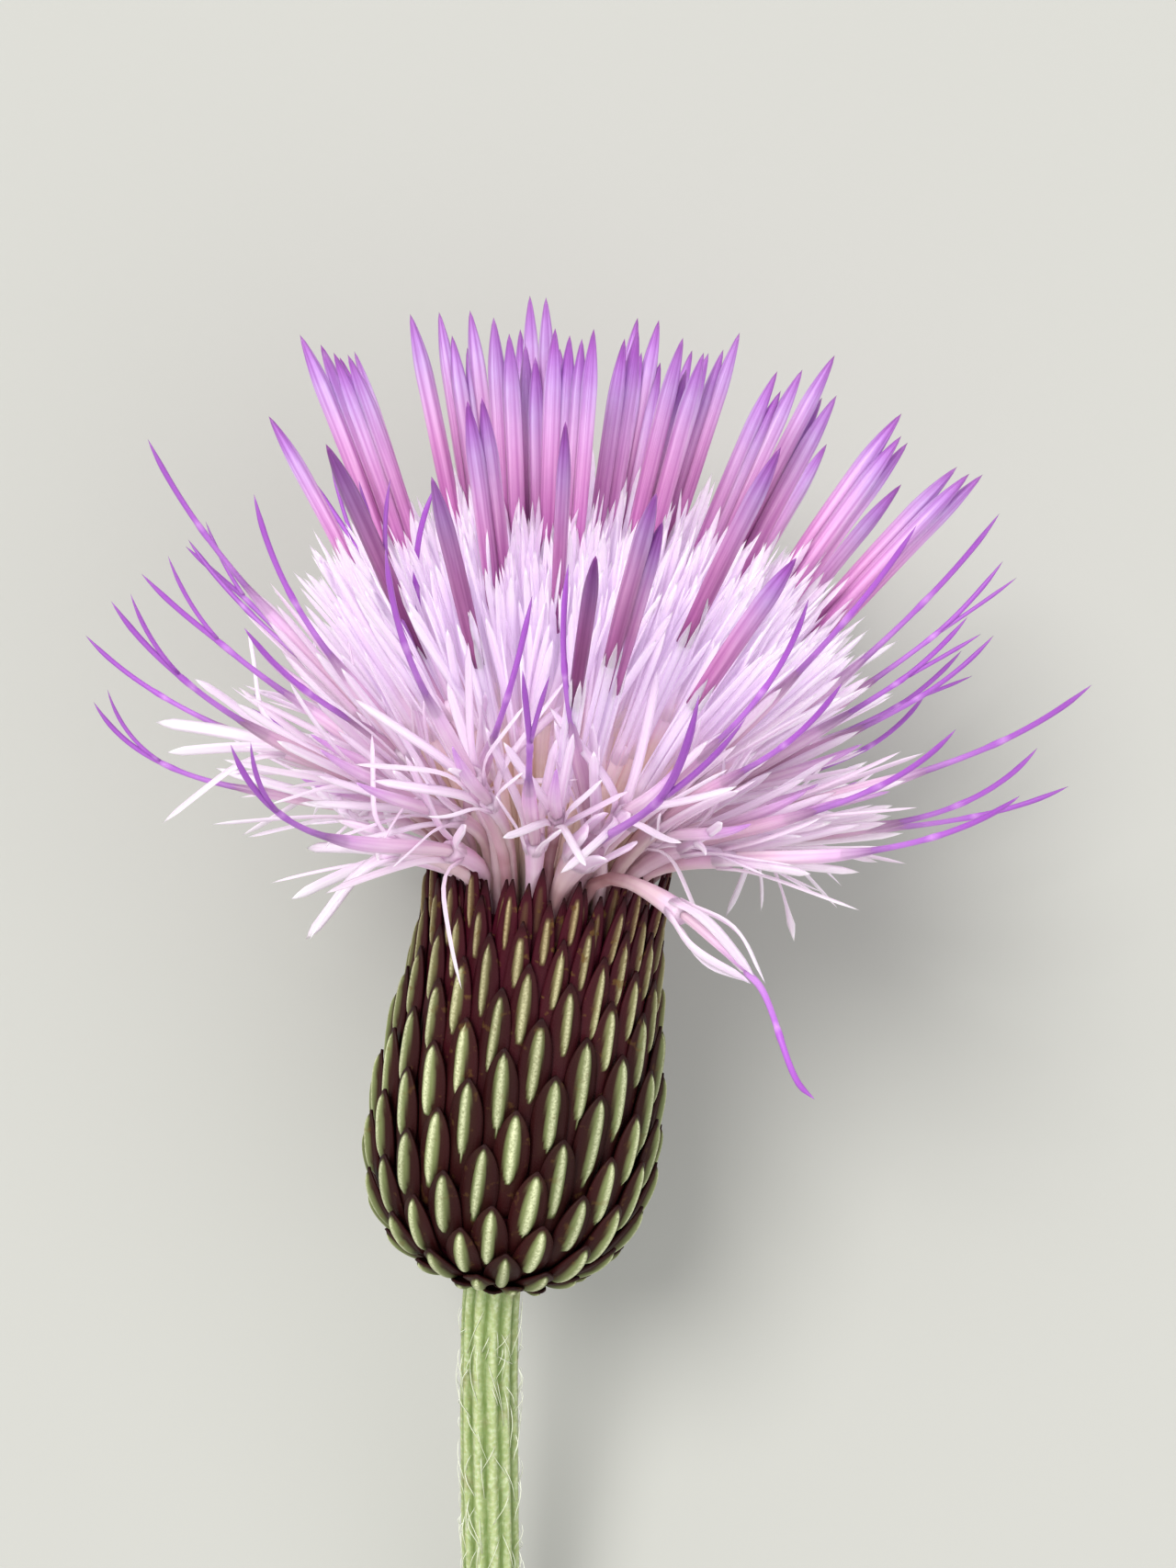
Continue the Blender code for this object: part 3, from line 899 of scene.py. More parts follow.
@dataclass
class Stem:
    """The ribbed stem and the receptacle that it widens into."""

    length: float = 70.0
    radius: float = 2.05
    bend: float = 4.0
    ribs: int = 11
    rib_height: float = 0.13
    sides: int = 88
    steps: int = 90
    heights: tuple[float, ...] = (0.4, 1.2, 2.2, 3.4, 4.8, 5.5)
    radii: tuple[float, ...] = (2.1, 2.7, 4.1, 5.7, 7.0, 6.8)
    crown: float = 0.25
    unevenness: float = 0.125
    ribs_on_receptacle: float = 0.2
    cut_rings: tuple[float, ...] = (1.0, 0.93, 0.82, 0.66, 0.45, 0.22)
    cut_dip: float = 0.22
    hairs: int = 420
    hair_points: int = 7
    hair_gap: float = 0.09
    seed: int = 5
    hair_seed: int = 11

    def centreline(self) -> Point:
        """The stem's axis, from its cut end to the cup's base.

        Returns:
            One row per step.
        """
        down = np.array((math.sin(LIE.side_lean), 0.0, -math.cos(LIE.side_lean)))
        bend = np.array((0.0, 0.0, -self.bend))
        cut_end = bend * 0.5 + down * (self.length - self.bend * 0.5)
        path = bezier(np.zeros(3), bend, bend * 1.6, cut_end, 160)[::-1]
        path = along_path(path, np.linspace(0.0, 1.0, self.steps))
        return LIE.lift(path, self.radius + 0.1)

    def build(self, finishes: Finishes) -> None:
        """Builds the stem and its down.

        Args:
            finishes: The material of each tissue.
        """
        skin = Skin(Tissue.STEM, Tissue.CUT)
        path = self.centreline()
        neck = np.array([(0.0, 0.0, height) for height in self.heights])
        axis = np.concatenate((path, neck))
        tangents = tangents_of(axis)
        radii = np.concatenate((np.full(len(path), self.radius), self.radii))
        draw = random.Random(self.seed)
        waves = [
            (draw.uniform(0.05, 0.16), draw.uniform(0, 6), draw.uniform(0.4, 1.2)) for _ in range(4)
        ]
        angles = np.arange(self.sides) * math.tau / self.sides
        rings, marks, alongs = [], [], []
        for row, (centre, tangent) in enumerate(zip(axis, tangents)):
            share = row / (len(axis) - 1)
            twist = angles * self.ribs + 0.7 * math.sin(3.0 * share)
            rib = np.clip(0.5 + 0.5 * np.cos(twist), 0, 1) ** 0.8
            drift = 14 * share
            uneven = sum(size * np.sin(angles * 2 * pace + at + drift) for size, at, pace in waves)
            relief = self.rib_height * (rib - 0.5) * 2 + self.unevenness * uneven
            thick = radii[row] + (1.0 if row < len(path) else self.ribs_on_receptacle) * relief
            rings.append(centre + thick[:, None] * self.around(tangent, angles))
            marks.append(rib)
            alongs.append(np.full(self.sides, share * 6))
        points = LIE.lift(np.concatenate(rings), 0.02, 0.04)
        first = skin.add(points, along=np.concatenate(alongs), mark=np.concatenate(marks),
                         across=np.tile(angles / math.tau, len(axis)), shade=0.5)
        top = first + (len(axis) - 1) * self.sides
        for ring in range(first, top, self.sides):
            skin.stitch(ring, ring + self.sides, self.sides, Tissue.STEM)
        self.close_end(skin, points[: self.sides], path[0], tangents[0])
        crown = skin.add(axis[-1:] + (0, 0, self.crown), mark=0.2, shade=0.5)
        skin.close(top, self.sides, crown, Tissue.STEM)
        skin.finish("stem_and_receptacle", "stem", finishes, "stem")
        self.build_down(path, finishes)

    def around(self, tangent: Point, angles: Point) -> Point:
        """The unit directions that stand off the stem's axis at angles round it."""
        side = unit(np.cross(tangent, (0.0, 1.0, 0.0)))
        return np.cos(angles)[:, None] * side + np.sin(angles)[:, None] * np.cross(side, tangent)

    def close_end(self, skin: Skin, rim: Point, centre: Point, tangent: Point) -> None:
        """Closes the cut end with a slightly hollow face of pith and rind.

        Args:
            skin: The stem's skin.
            rim: The points round the cut.
            centre: The middle of the cut.
            tangent: The stem's direction there.
        """
        rings = []
        for share in self.cut_rings:
            rounding = 1 - share if share > 0.9 else 0.0
            dip = self.cut_dip * (1 - share**2) - rounding
            ring = centre + (rim - centre) * share + tangent * dip
            rings.append(skin.add(ring, across=share, along=0.0, shade=0.5))
        for outer, inner in zip(rings, rings[1:]):
            skin.stitch(outer, inner, self.sides, Tissue.CUT, flip=True)
        middle = skin.add((centre + tangent * self.cut_dip)[None, :], across=0.0, shade=0.5)
        skin.close(rings[-1], self.sides, middle, Tissue.CUT, flip=True)

    def build_down(self, path: Point, finishes: Finishes) -> None:
        """Lays fine cobweb hairs along the stem.

        Args:
            path: The stem's axis.
            finishes: The material of each tissue.
        """
        skin = Skin(Tissue.DOWN)
        draw = random.Random(self.hair_seed)
        count = self.hair_points
        for _ in range(self.hairs):
            start = draw.uniform(0.01, 0.93)
            span = draw.uniform(0.015, 0.06)
            turn = draw.uniform(0, math.tau)
            sweep = draw.uniform(-0.7, 0.7)
            rise = draw.uniform(0.12, 0.4)
            centres = along_path(path, np.linspace(start, min(0.985, start + span), count))
            angles = turn + np.linspace(0, sweep, count)
            arch = rise * np.sin(np.linspace(0, math.pi * 0.8, count)) ** 2
            off = (self.radius + self.hair_gap + arch)[:, None]
            hair = centres + off * self.around(unit(centres[-1] - centres[0]), angles)
            radii = np.full(count, draw.uniform(0.022, 0.04))
            skin.strand(hair, radii, Tissue.DOWN, draw.random(), sides=3)
        skin.finish("stem_down", "stem", finishes)


# ---------------------------------------------------------------------------------------
# The cup of bracts


@dataclass(frozen=True)
class Graded:
    """A size that changes up the cup: most bracts' own, and what base and mouth add to it."""

    middle: float
    at_base: float
    at_mouth: float

    def at(self, lower: float, upper: float) -> float:
        """The size at shares of the base's and the mouth's."""
        return self.middle + self.at_base * lower + self.at_mouth * upper


@dataclass
class Cup:
    """The involucre: bracts laid in a spiral over one another from base to mouth."""

    base_radius: float = 2.7
    belly_radius: float = 10.8
    belly_height: float = 10.4
    roundness: float = 2.4
    neck_radius: float = 8.7
    mouth: float = 30.5
    above_mouth: float = 3.2
    series: int = 9
    bracts: int = 22
    thickness: float = 0.2
    length: Graded = Graded(8.6, -4.0, 3.4)
    half_width: Graded = Graded(1.42, -0.3, -0.55)
    ridge_half: Graded = Graded(0.55, 0.02, -0.29)
    ridge_long: Graded = Graded(5.5, -3.4, -1.9)
    ridge_rise: Graded = Graded(0.38, 0.0, -0.12)
    foot_depth: float = 1.3
    crown: float = 0.14
    lining_depth: float = 1.5
    lining_wall: float = 0.3
    lining_sides: int = 72
    lining_rows: int = 40
    collar: int = 40
    columns: tuple[float, ...] = (0.1, 0.2, 0.28, 0.36, 0.5, 0.75, 1.0)
    rows: int = 25
    seed: int = 23
    profile: Point = field(init=False)

    def __post_init__(self) -> None:
        """Works out the cup's outline: distance along it, height and radius."""
        heights = (self.mouth + self.above_mouth) * np.linspace(0, 1, 400) ** 1.6
        radii = np.maximum(self.base_radius, [self.radius(height) for height in heights])
        steps = np.hypot(np.diff(heights), np.diff(radii))
        self.profile = np.stack((np.concatenate(([0.0], np.cumsum(steps))), heights, radii))

    def radius(self, height: float) -> float:
        """The cup's outer radius.

        Args:
            height: How far above its base.

        Returns:
            The radius there.
        """
        if height < self.belly_height:
            below = (self.belly_height - height) / (self.belly_height * 1.033)
            return self.belly_radius * max(0.0, 1 - below**self.roundness) ** (1 / self.roundness)
        share = min(1.0, (height - self.belly_height) / (self.mouth - self.belly_height))
        swell = (self.belly_radius - self.neck_radius) * 0.5 * (1 + math.cos(math.pi * share))
        return self.neck_radius + swell

    def on_cup(self, along: Point, inset: Point, turn: Point) -> Point:
        """Points on the cup.

        Args:
            along: Distances up the cup's outline.
            inset: Depths under its surface.
            turn: Turns round it.

        Returns:
            One row per point.
        """
        distance, heights, radii = self.profile
        reach = 0.4
        ahead, out = (
            np.interp(along + reach, distance, values) - np.interp(along - reach, distance, values)
            for values in (heights, radii)
        )
        length = np.maximum(1e-6, np.hypot(ahead, out))
        radius = np.interp(along, distance, radii) - inset * ahead / length
        height = np.interp(along, distance, heights) + inset * out / length
        height = height + np.maximum(0.0, along - distance[-1])
        return np.stack((radius * np.sin(turn), -radius * np.cos(turn), height), axis=-1)

    def build(self, finishes: Finishes) -> None:
        """Builds each series of bracts as one piece.

        Args:
            finishes: The material of each tissue.
        """
        draw = random.Random(self.seed)
        total = self.series * self.bracts
        rises = 1 - 0.5 * smooth_step(np.linspace(0, 1, total), 0.5, 1.0)
        lowest, short_of_edge = 2.3, 2.6
        climb = (self.profile[0][-1] - short_of_edge) * np.cumsum(rises) / rises.sum()
        tips = lowest + climb
        for series in range(self.series):
            skin = Skin(Tissue.BRACT)
            skin.values.update({"ridge": [], "halo": []})
            for k in range(self.bracts):
                index = series * self.bracts + k
                self.add_bract(skin, index, index / (total - 1), float(tips[index]), draw)
            if series == self.series - 1:
                self.add_lining(skin)
                self.add_collar(skin, draw)
            node = f"phyllary_series_{series + 1}"
            skin.finish(f"bracts_{series + 1}", "phyllary", finishes, node)

    def add_collar(self, skin: Skin, draw: random.Random) -> None:
        """Adds the slender innermost bracts that stand round the mouth.

        Args:
            skin: The skin of the innermost series.
            draw: The source of their small differences.
        """
        first = self.series * self.bracts
        for k in range(self.collar):
            tip = self.profile[0][-1] - 1.2 + draw.uniform(-1.4, 1.0)
            turn = math.tau * (k + draw.uniform(-0.3, 0.3)) / self.collar
            depth, ridged = draw.uniform(0.35, 0.9), draw.choice((0.0, 0.5))
            self.add_bract(skin, first + k, 1.0, tip, draw, turn, depth, ridged)

    def add_lining(self, skin: Skin) -> None:
        """Adds the thin wall that the bracts grow from.

        Args:
            skin: The skin of the innermost series.
        """
        sides, rows = self.lining_sides, self.lining_rows
        along, turns = np.meshgrid(
            np.linspace(1.2, self.profile[0][-1] - 4.5, rows),
            np.arange(sides) * math.tau / sides,
            indexing="ij",
        )
        walls = []
        for depth in (self.lining_depth, self.lining_depth + self.lining_wall):
            wall = self.on_cup(along, np.full_like(along, depth), turns).reshape(-1, 3)
            walls.append(skin.add(LIE.lift(wall, 0.3, 0.1), mark=1.0, shade=0.1, along=0.5))
        outer, inner = walls
        last = (rows - 1) * sides
        for row in range(0, last, sides):
            skin.stitch(outer + row, outer + row + sides, sides, Tissue.BRACT)
            skin.stitch(inner + row, inner + row + sides, sides, Tissue.BRACT, flip=True)
        skin.stitch(outer + last, inner + last, sides, Tissue.BRACT)
        skin.stitch(outer, inner, sides, Tissue.BRACT, flip=True)

    def add_bract(self, skin: Skin, index: int, share: float, tip: float, draw: random.Random,
                  turn: float | None = None, depth: float = 0.15, ridged: float = 1.0) -> None:
        """Adds one bract to its series.

        Args:
            skin: The series' skin.
            index: The bract's place in the spiral.
            share: The same as a share of all of them.
            tip: How far up the cup's outline its tip is.
            draw: The source of its small differences.
            turn: Its turn, where it isn't the spiral's.
            depth: How deep under the cup's surface it lies.
            ridged: How much of a ridge it has.
        """
        if turn is None:
            turn = -index * GOLDEN_ANGLE + draw.uniform(-0.02, 0.02)
        tip += draw.uniform(-0.25, 0.25)
        upper = float(smooth_step(share, 0.45, 1.0))
        lower = float(1 - smooth_step(share, 0.0, 0.15))
        length = min(self.length.at(lower, upper), tip + 0.6)
        half = self.half_width.at(lower, upper) * draw.uniform(0.94, 1.06)
        ridge_half = self.ridge_half.at(lower, upper) * draw.uniform(0.85, 1.15)
        ridge_long = self.ridge_long.at(lower, upper) * draw.uniform(0.85, 1.12)
        ridge_rise = self.ridge_rise.at(lower, upper) * draw.uniform(0.85, 1.15) * ridged
        skew = draw.uniform(-0.04, 0.04)
        hidden = np.linspace(0, 0.34, 5)[:-1]
        v = np.concatenate((hidden, np.linspace(0.34, 1, self.rows - 4)))[:, None]
        u = np.array([-x for x in reversed(self.columns)] + [0.0] + list(self.columns))[None, :]
        taper = 1 - np.clip((v - 0.5) / 0.5, 0, 1) ** (2.8 - 1.0 * upper)
        aside = u * (half * np.minimum(0.75 + 0.5 * v, np.maximum(0.03, taper) ** 0.8))
        along = tip - length * (1 - v) + 0 * u
        stop = 1 - (0.42 + 0.9 * upper) / length
        start = max(0.02, stop - ridge_long / length)
        rise = np.clip((v - start) / (stop - start), 0, 1)
        blunt = np.sqrt(np.clip(1 - np.abs(2 * rise - 1) ** 3.2, 0, 1))
        distance = np.abs(aside) / np.maximum(0.03, ridge_half * blunt)
        crest = np.sqrt(np.clip(1 - distance**2, 0, 1)) * blunt
        tint = 0.5 * smooth_step(1 - distance, 0.0, 0.22)
        tint = tint + 0.5 * smooth_step(1 - distance, 0.3, 0.95)
        tint = tint * (blunt > 0) * (0.25 + 0.75 * ridged)
        halo = np.exp(-(aside / (0.72 - 0.3 * upper)) ** 4)
        halo = halo * smooth_step(v, start - 0.15, start + 0.1)
        halo = halo * (1 - smooth_step(v, stop, stop + 0.06))
        lift = upper * draw.uniform(-0.3, 0.15) * smooth_step(v, 0.55, 1.0)
        ridge = crest * ridge_rise
        inset = self.foot_depth * (1 - v) ** 1.2 + self.crown * aside**2 - ridge + lift + depth
        radius = np.maximum(1.5, np.interp(along, self.profile[0], self.profile[2]))
        angle = turn + aside / radius + skew * (v - 0.5)
        outer = self.on_cup(along, inset, angle).reshape(-1, 3)
        inner = self.on_cup(along, inset + ridge + self.thickness, angle).reshape(-1, 3)
        values = {
            "along": (v + 0 * u).ravel(), "across": (0.5 + 0.5 * u + 0 * v).ravel(),
            "shade": draw.random(), "mark": share,
        }
        top = skin.add(LIE.lift(outer, SKIN_CLEARANCE, SKIN_SOFTNESS), **values,
                       ridge=tint.ravel(), halo=halo.ravel())
        under = skin.add(LIE.lift(inner, SKIN_CLEARANCE, SKIN_SOFTNESS), **values)
        self.join_faces(skin, top, under, u.shape[1])

    def join_faces(self, skin: Skin, top: int, under: int, columns: int) -> None:
        """Covers a bract's outer and inner face and the edge between them.

        Args:
            skin: The series' skin.
            top: The first point of the outer face.
            under: The first point of the inner face.
            columns: How many points lie across it.
        """
        for row in range(self.rows - 1):
            for k in range(columns - 1):
                a = row * columns + k
                b = a + columns
                skin.face((top + a, top + a + 1, top + b + 1, top + b), Tissue.BRACT)
                skin.face((under + a + 1, under + a, under + b, under + b + 1), Tissue.BRACT)
        rim = list(range(columns))
        rim += [row * columns + columns - 1 for row in range(1, self.rows)]
        rim += [(self.rows - 1) * columns + k for k in reversed(range(columns - 1))]
        rim += [row * columns for row in reversed(range(1, self.rows - 1))]
        for a, b in zip(rim, rim[1:] + rim[:1]):
            skin.face((top + b, top + a, under + a, under + b), Tissue.BRACT)


# ---------------------------------------------------------------------------------------
# The florets


class Habit(Enum):
    """How a floret's lobes stand: openness, spread and curl in degrees, and bulge."""

    CLOSED = (0.0, 0.0, 0.0, 0.0)
    CAGE = (0.0, 0.0, 0.0, 0.95)
    FOLDED = (0.6, 9.0, 4.0, 0.0)
    FRINGE = (1.0, 5.5, 2.5, 0.0)
    UPRIGHT = (0.5, 14.0, 4.0, 0.0)
    OPEN = (0.85, 34.0, 5.0, 0.0)
    SPLAYED = (1.0, 60.0, 9.0, 0.0)


@dataclass(frozen=True)
class Build:
    """The sizes of one kind of floret: radii, lengths, a lobe's half width, and its corners."""

    tube: float
    throat: float
    throat_length: float
    lobe: float
    lobe_width: float
    sides: int


RIM_BUILD = Build(0.46, 0.72, throat_length=7.0, lobe=10.6, lobe_width=0.30, sides=10)
FOLDED_BUILD = Build(0.55, 1.2, throat_length=8.0, lobe=6.5, lobe_width=0.6, sides=12)
TANGLE_BUILD = Build(0.40, 0.58, throat_length=5.0, lobe=10.2, lobe_width=0.29, sides=8)
HANGING_BUILD = Build(0.48, 0.75, throat_length=5.0, lobe=9.4, lobe_width=0.40, sides=10)
DISC_BUILD = Build(0.32, 0.50, throat_length=7.0, lobe=12.0, lobe_width=0.27, sides=8)


INNER_TISSUES = (Tissue.COROLLA, Tissue.ANTHER)
OUTER_TISSUES = (Tissue.RIM_COROLLA, Tissue.RIM_ANTHER, Tissue.STYLE)


@dataclass
class Floret:
    """One floret on its path: tube, throat, five lobes, anther tube and style."""

    path: Point
    kind: Build
    habit: Habit
    draw: random.Random
    tissue: Tissue = Tissue.COROLLA
    depth: float = 0.0
    lobes_at: float = 0.0
    lobes: int = 5
    lobe_points: int = 13
    lobe_taper_from: float = 0.86

    @property
    def length(self) -> float:
        """The length of the path."""
        return float(np.linalg.norm(np.diff(self.path, axis=0), axis=1).sum())

    def at(self, distances: Point) -> Point:
        """Points at distances along the path."""
        return along_path(self.path, np.clip(distances / self.length, 0.0, 1.0))

    def add_corolla(self, skin: Skin) -> None:
        """Adds the tube, its throat and its lobes.

        Args:
            skin: The piece's skin.
        """
        kind, rim = self.kind, self.lobes_at
        swell = rim - kind.throat_length
        tube, throat = np.linspace(0, swell, 14)[:-1], np.linspace(swell, rim, 6)
        stops = np.concatenate((tube, throat, [rim + 0.25]))
        widen = smooth_step(stops, swell - 1.0, rim)
        radii = kind.tube * (0.72 + 0.28 * np.clip(stops / swell, 0, 1))
        radii = radii + (kind.throat - kind.tube) * widen
        shade = self.draw.random()
        skin.strand(self.at(stops), radii, self.tissue, shade, sides=kind.sides, span=(0.0, 0.5),
                    mark=self.depth)
        self.add_lobes(skin, shade)

    def add_lobes(self, skin: Skin, shade: float) -> None:
        """Adds five narrow lobes that leave the throat's rim.

        Args:
            skin: The piece's skin.
            shade: The corolla's lightness.
        """
        kind, draw = self.kind, self.draw
        openness, spread, curl, bulge = self.habit.value
        centre, ahead = self.at(np.array((self.lobes_at, self.lobes_at + 0.6)))
        forward = unit(ahead - centre)
        side = unit(np.cross(forward, (0.31, 0.2, 0.93)))
        other = np.cross(forward, side)
        phase = draw.uniform(0, math.tau)
        t = np.linspace(0, 1, self.lobe_points) ** 0.8
        for k in range(self.lobes):
            angle = phase + math.tau * k / self.lobes + draw.uniform(-0.12, 0.12)
            out = math.cos(angle) * side + math.sin(angle) * other
            around = np.cross(forward, out)
            length = kind.lobe * draw.uniform(0.88, 1.08)
            core = self.at(self.lobes_at - 1.0 + t * length)
            ring = kind.throat * (0.96 + 0.1 * t) + bulge * (np.sin(math.pi * t) ** 1.5 - 0.42 * t)
            closed = core + out * ring[:, None]
            free = min(1.0, openness * draw.uniform(0.6, 1.25))
            lean = math.radians(spread * draw.uniform(0.4, 1.5)) * smooth_step(t, -0.15, 0.5)
            lean = lean + math.radians(curl * draw.uniform(-1.5, 2.5)) * t**2
            yaw = math.radians(draw.uniform(-14, 14)) * free
            steps = np.cos(lean)[:, None] * forward
            steps = steps + np.sin(lean)[:, None] * out + math.sin(yaw) * around
            strides = (steps[:-1] + steps[1:]) / 2 * np.diff(t)[:, None]
            walked = np.concatenate((np.zeros((1, 3)), np.cumsum(strides, axis=0)))
            loose = closed[0] + walked * length
            line = LIE.lift(closed * (1 - free) + loose * free, 0.25)
            foot = 0.45 * (1 - smooth_step(t, 0.0, 0.25))
            width = kind.lobe_width * (0.86 + foot + (0.2 + 0.3 * bulge) * np.sin(math.pi * t))
            pointed = np.clip((t - self.lobe_taper_from) / (1 - self.lobe_taper_from), 0, 1) ** 1.3
            width = width * (1 - 0.92 * pointed) * draw.uniform(0.85, 1.15)
            own_shade = 0.5 * shade + 0.5 * draw.random()
            skin.strand(line, width, self.tissue, own_shade, flat=0.32, facing=out,
                        span=(0.5, 1.0), mark=self.depth)

    def add_anther(self, skin: Skin, start: float, stop: float, radius: float, point: float,
                   tissue: Tissue = Tissue.ANTHER, shade: float = 0.5, depth: float = 0.0) -> None:
        """Adds the anther tube, five anthers joined side by side that end in a point.

        Args:
            skin: The piece's skin.
            start: Where it starts, as a distance along the path.
            stop: Where it ends.
            radius: Its radius.
            point: The length of its pointed end.
            tissue: What it is made of.
            shade: Its lightness.
            depth: How deep in colour it is.
        """
        stops = start + (stop - start) * np.linspace(0, 1, 26) ** 0.8
        near_end = np.clip(1 - (stop - stops) / point, 0.0, 1.0)
        radii = radius * (1 - near_end**1.7) + 0.05
        radii = radii * (0.86 + 0.14 * smooth_step(stops, start, start + 0.4 * (stop - start)))
        skin.strand(self.at(stops), radii, tissue, shade, sides=15, ribs=5, rib_depth=0.09,
                    mark=depth)

    def add_style(self, skin: Skin, start: float, radius: float, fork: float | None = None) -> None:
        """Adds the style, a thin thread with a joint, beyond which some part into two branches.

        Args:
            skin: The piece's skin.
            start: Where it starts, as a distance along the path.
            radius: Its radius.
            fork: How far its branches part, where that isn't left to chance.
        """
        count = 28
        stops = np.linspace(start, self.length, count)
        t = np.linspace(0, 1, count)
        joint = np.exp(-(((t - 0.5) / 0.035) ** 2))
        radii = radius * (1.15 - 0.25 * smooth_step(t, 0.0, 0.4) + 0.22 * joint)
        radii = radii * (1 - 0.7 * smooth_step(t, 0.85, 1.0))
        line, shade = self.at(stops), self.draw.random()
        if fork is None:
            fork = self.draw.uniform(0.5, 1.5) if self.draw.random() < 0.35 else 0.0
        aside = unit(np.cross(line[-1] - line[count // 2], (0.1, 0.9, 0.2))) * fork
        part = (np.clip(2 * t - 1, 0, 1) ** 1.4)[:, None] * aside
        if fork:
            branch = slice(count // 2 + 1, None)
            skin.strand(LIE.lift(line - part, 0.2)[branch], radii[branch] * 0.8, Tissue.STYLE,
                        shade, sides=8, span=(0.5, 1.0))
            part = part * 0.8
        skin.strand(LIE.lift(line + part, 0.2), radii, Tissue.STYLE, shade, sides=8)


@dataclass(frozen=True)
class Clump:
    """A few disc florets side by side, with the turn and lean of their direction in degrees.

    Their reach is from the middle of the mouth, depth is how deep in colour their anthers
    are, and wide is the anthers' width as a share of the usual one.
    """

    turn: float
    lean: float
    count: int
    reach: float = 40.5
    depth: float = 0.0
    wide: float = 1.0


@dataclass(frozen=True)
class RimFloret:
    """An outer floret: turn and lean of its tip's place, and the tip's own lean, in degrees.

    Its reach is the tip's distance from the mouth's middle, and open_at is where its lobes
    part, as a share of its length. A hook bends its end back towards the cup, and its rise
    is how strongly it keeps the cup's direction before it bends out.
    """

    turn: float
    lean: float
    tip_lean: float
    reach: float
    habit: Habit = Habit.OPEN
    open_at: float = 0.62
    hook: float = 0.0
    rise: float = 9.0


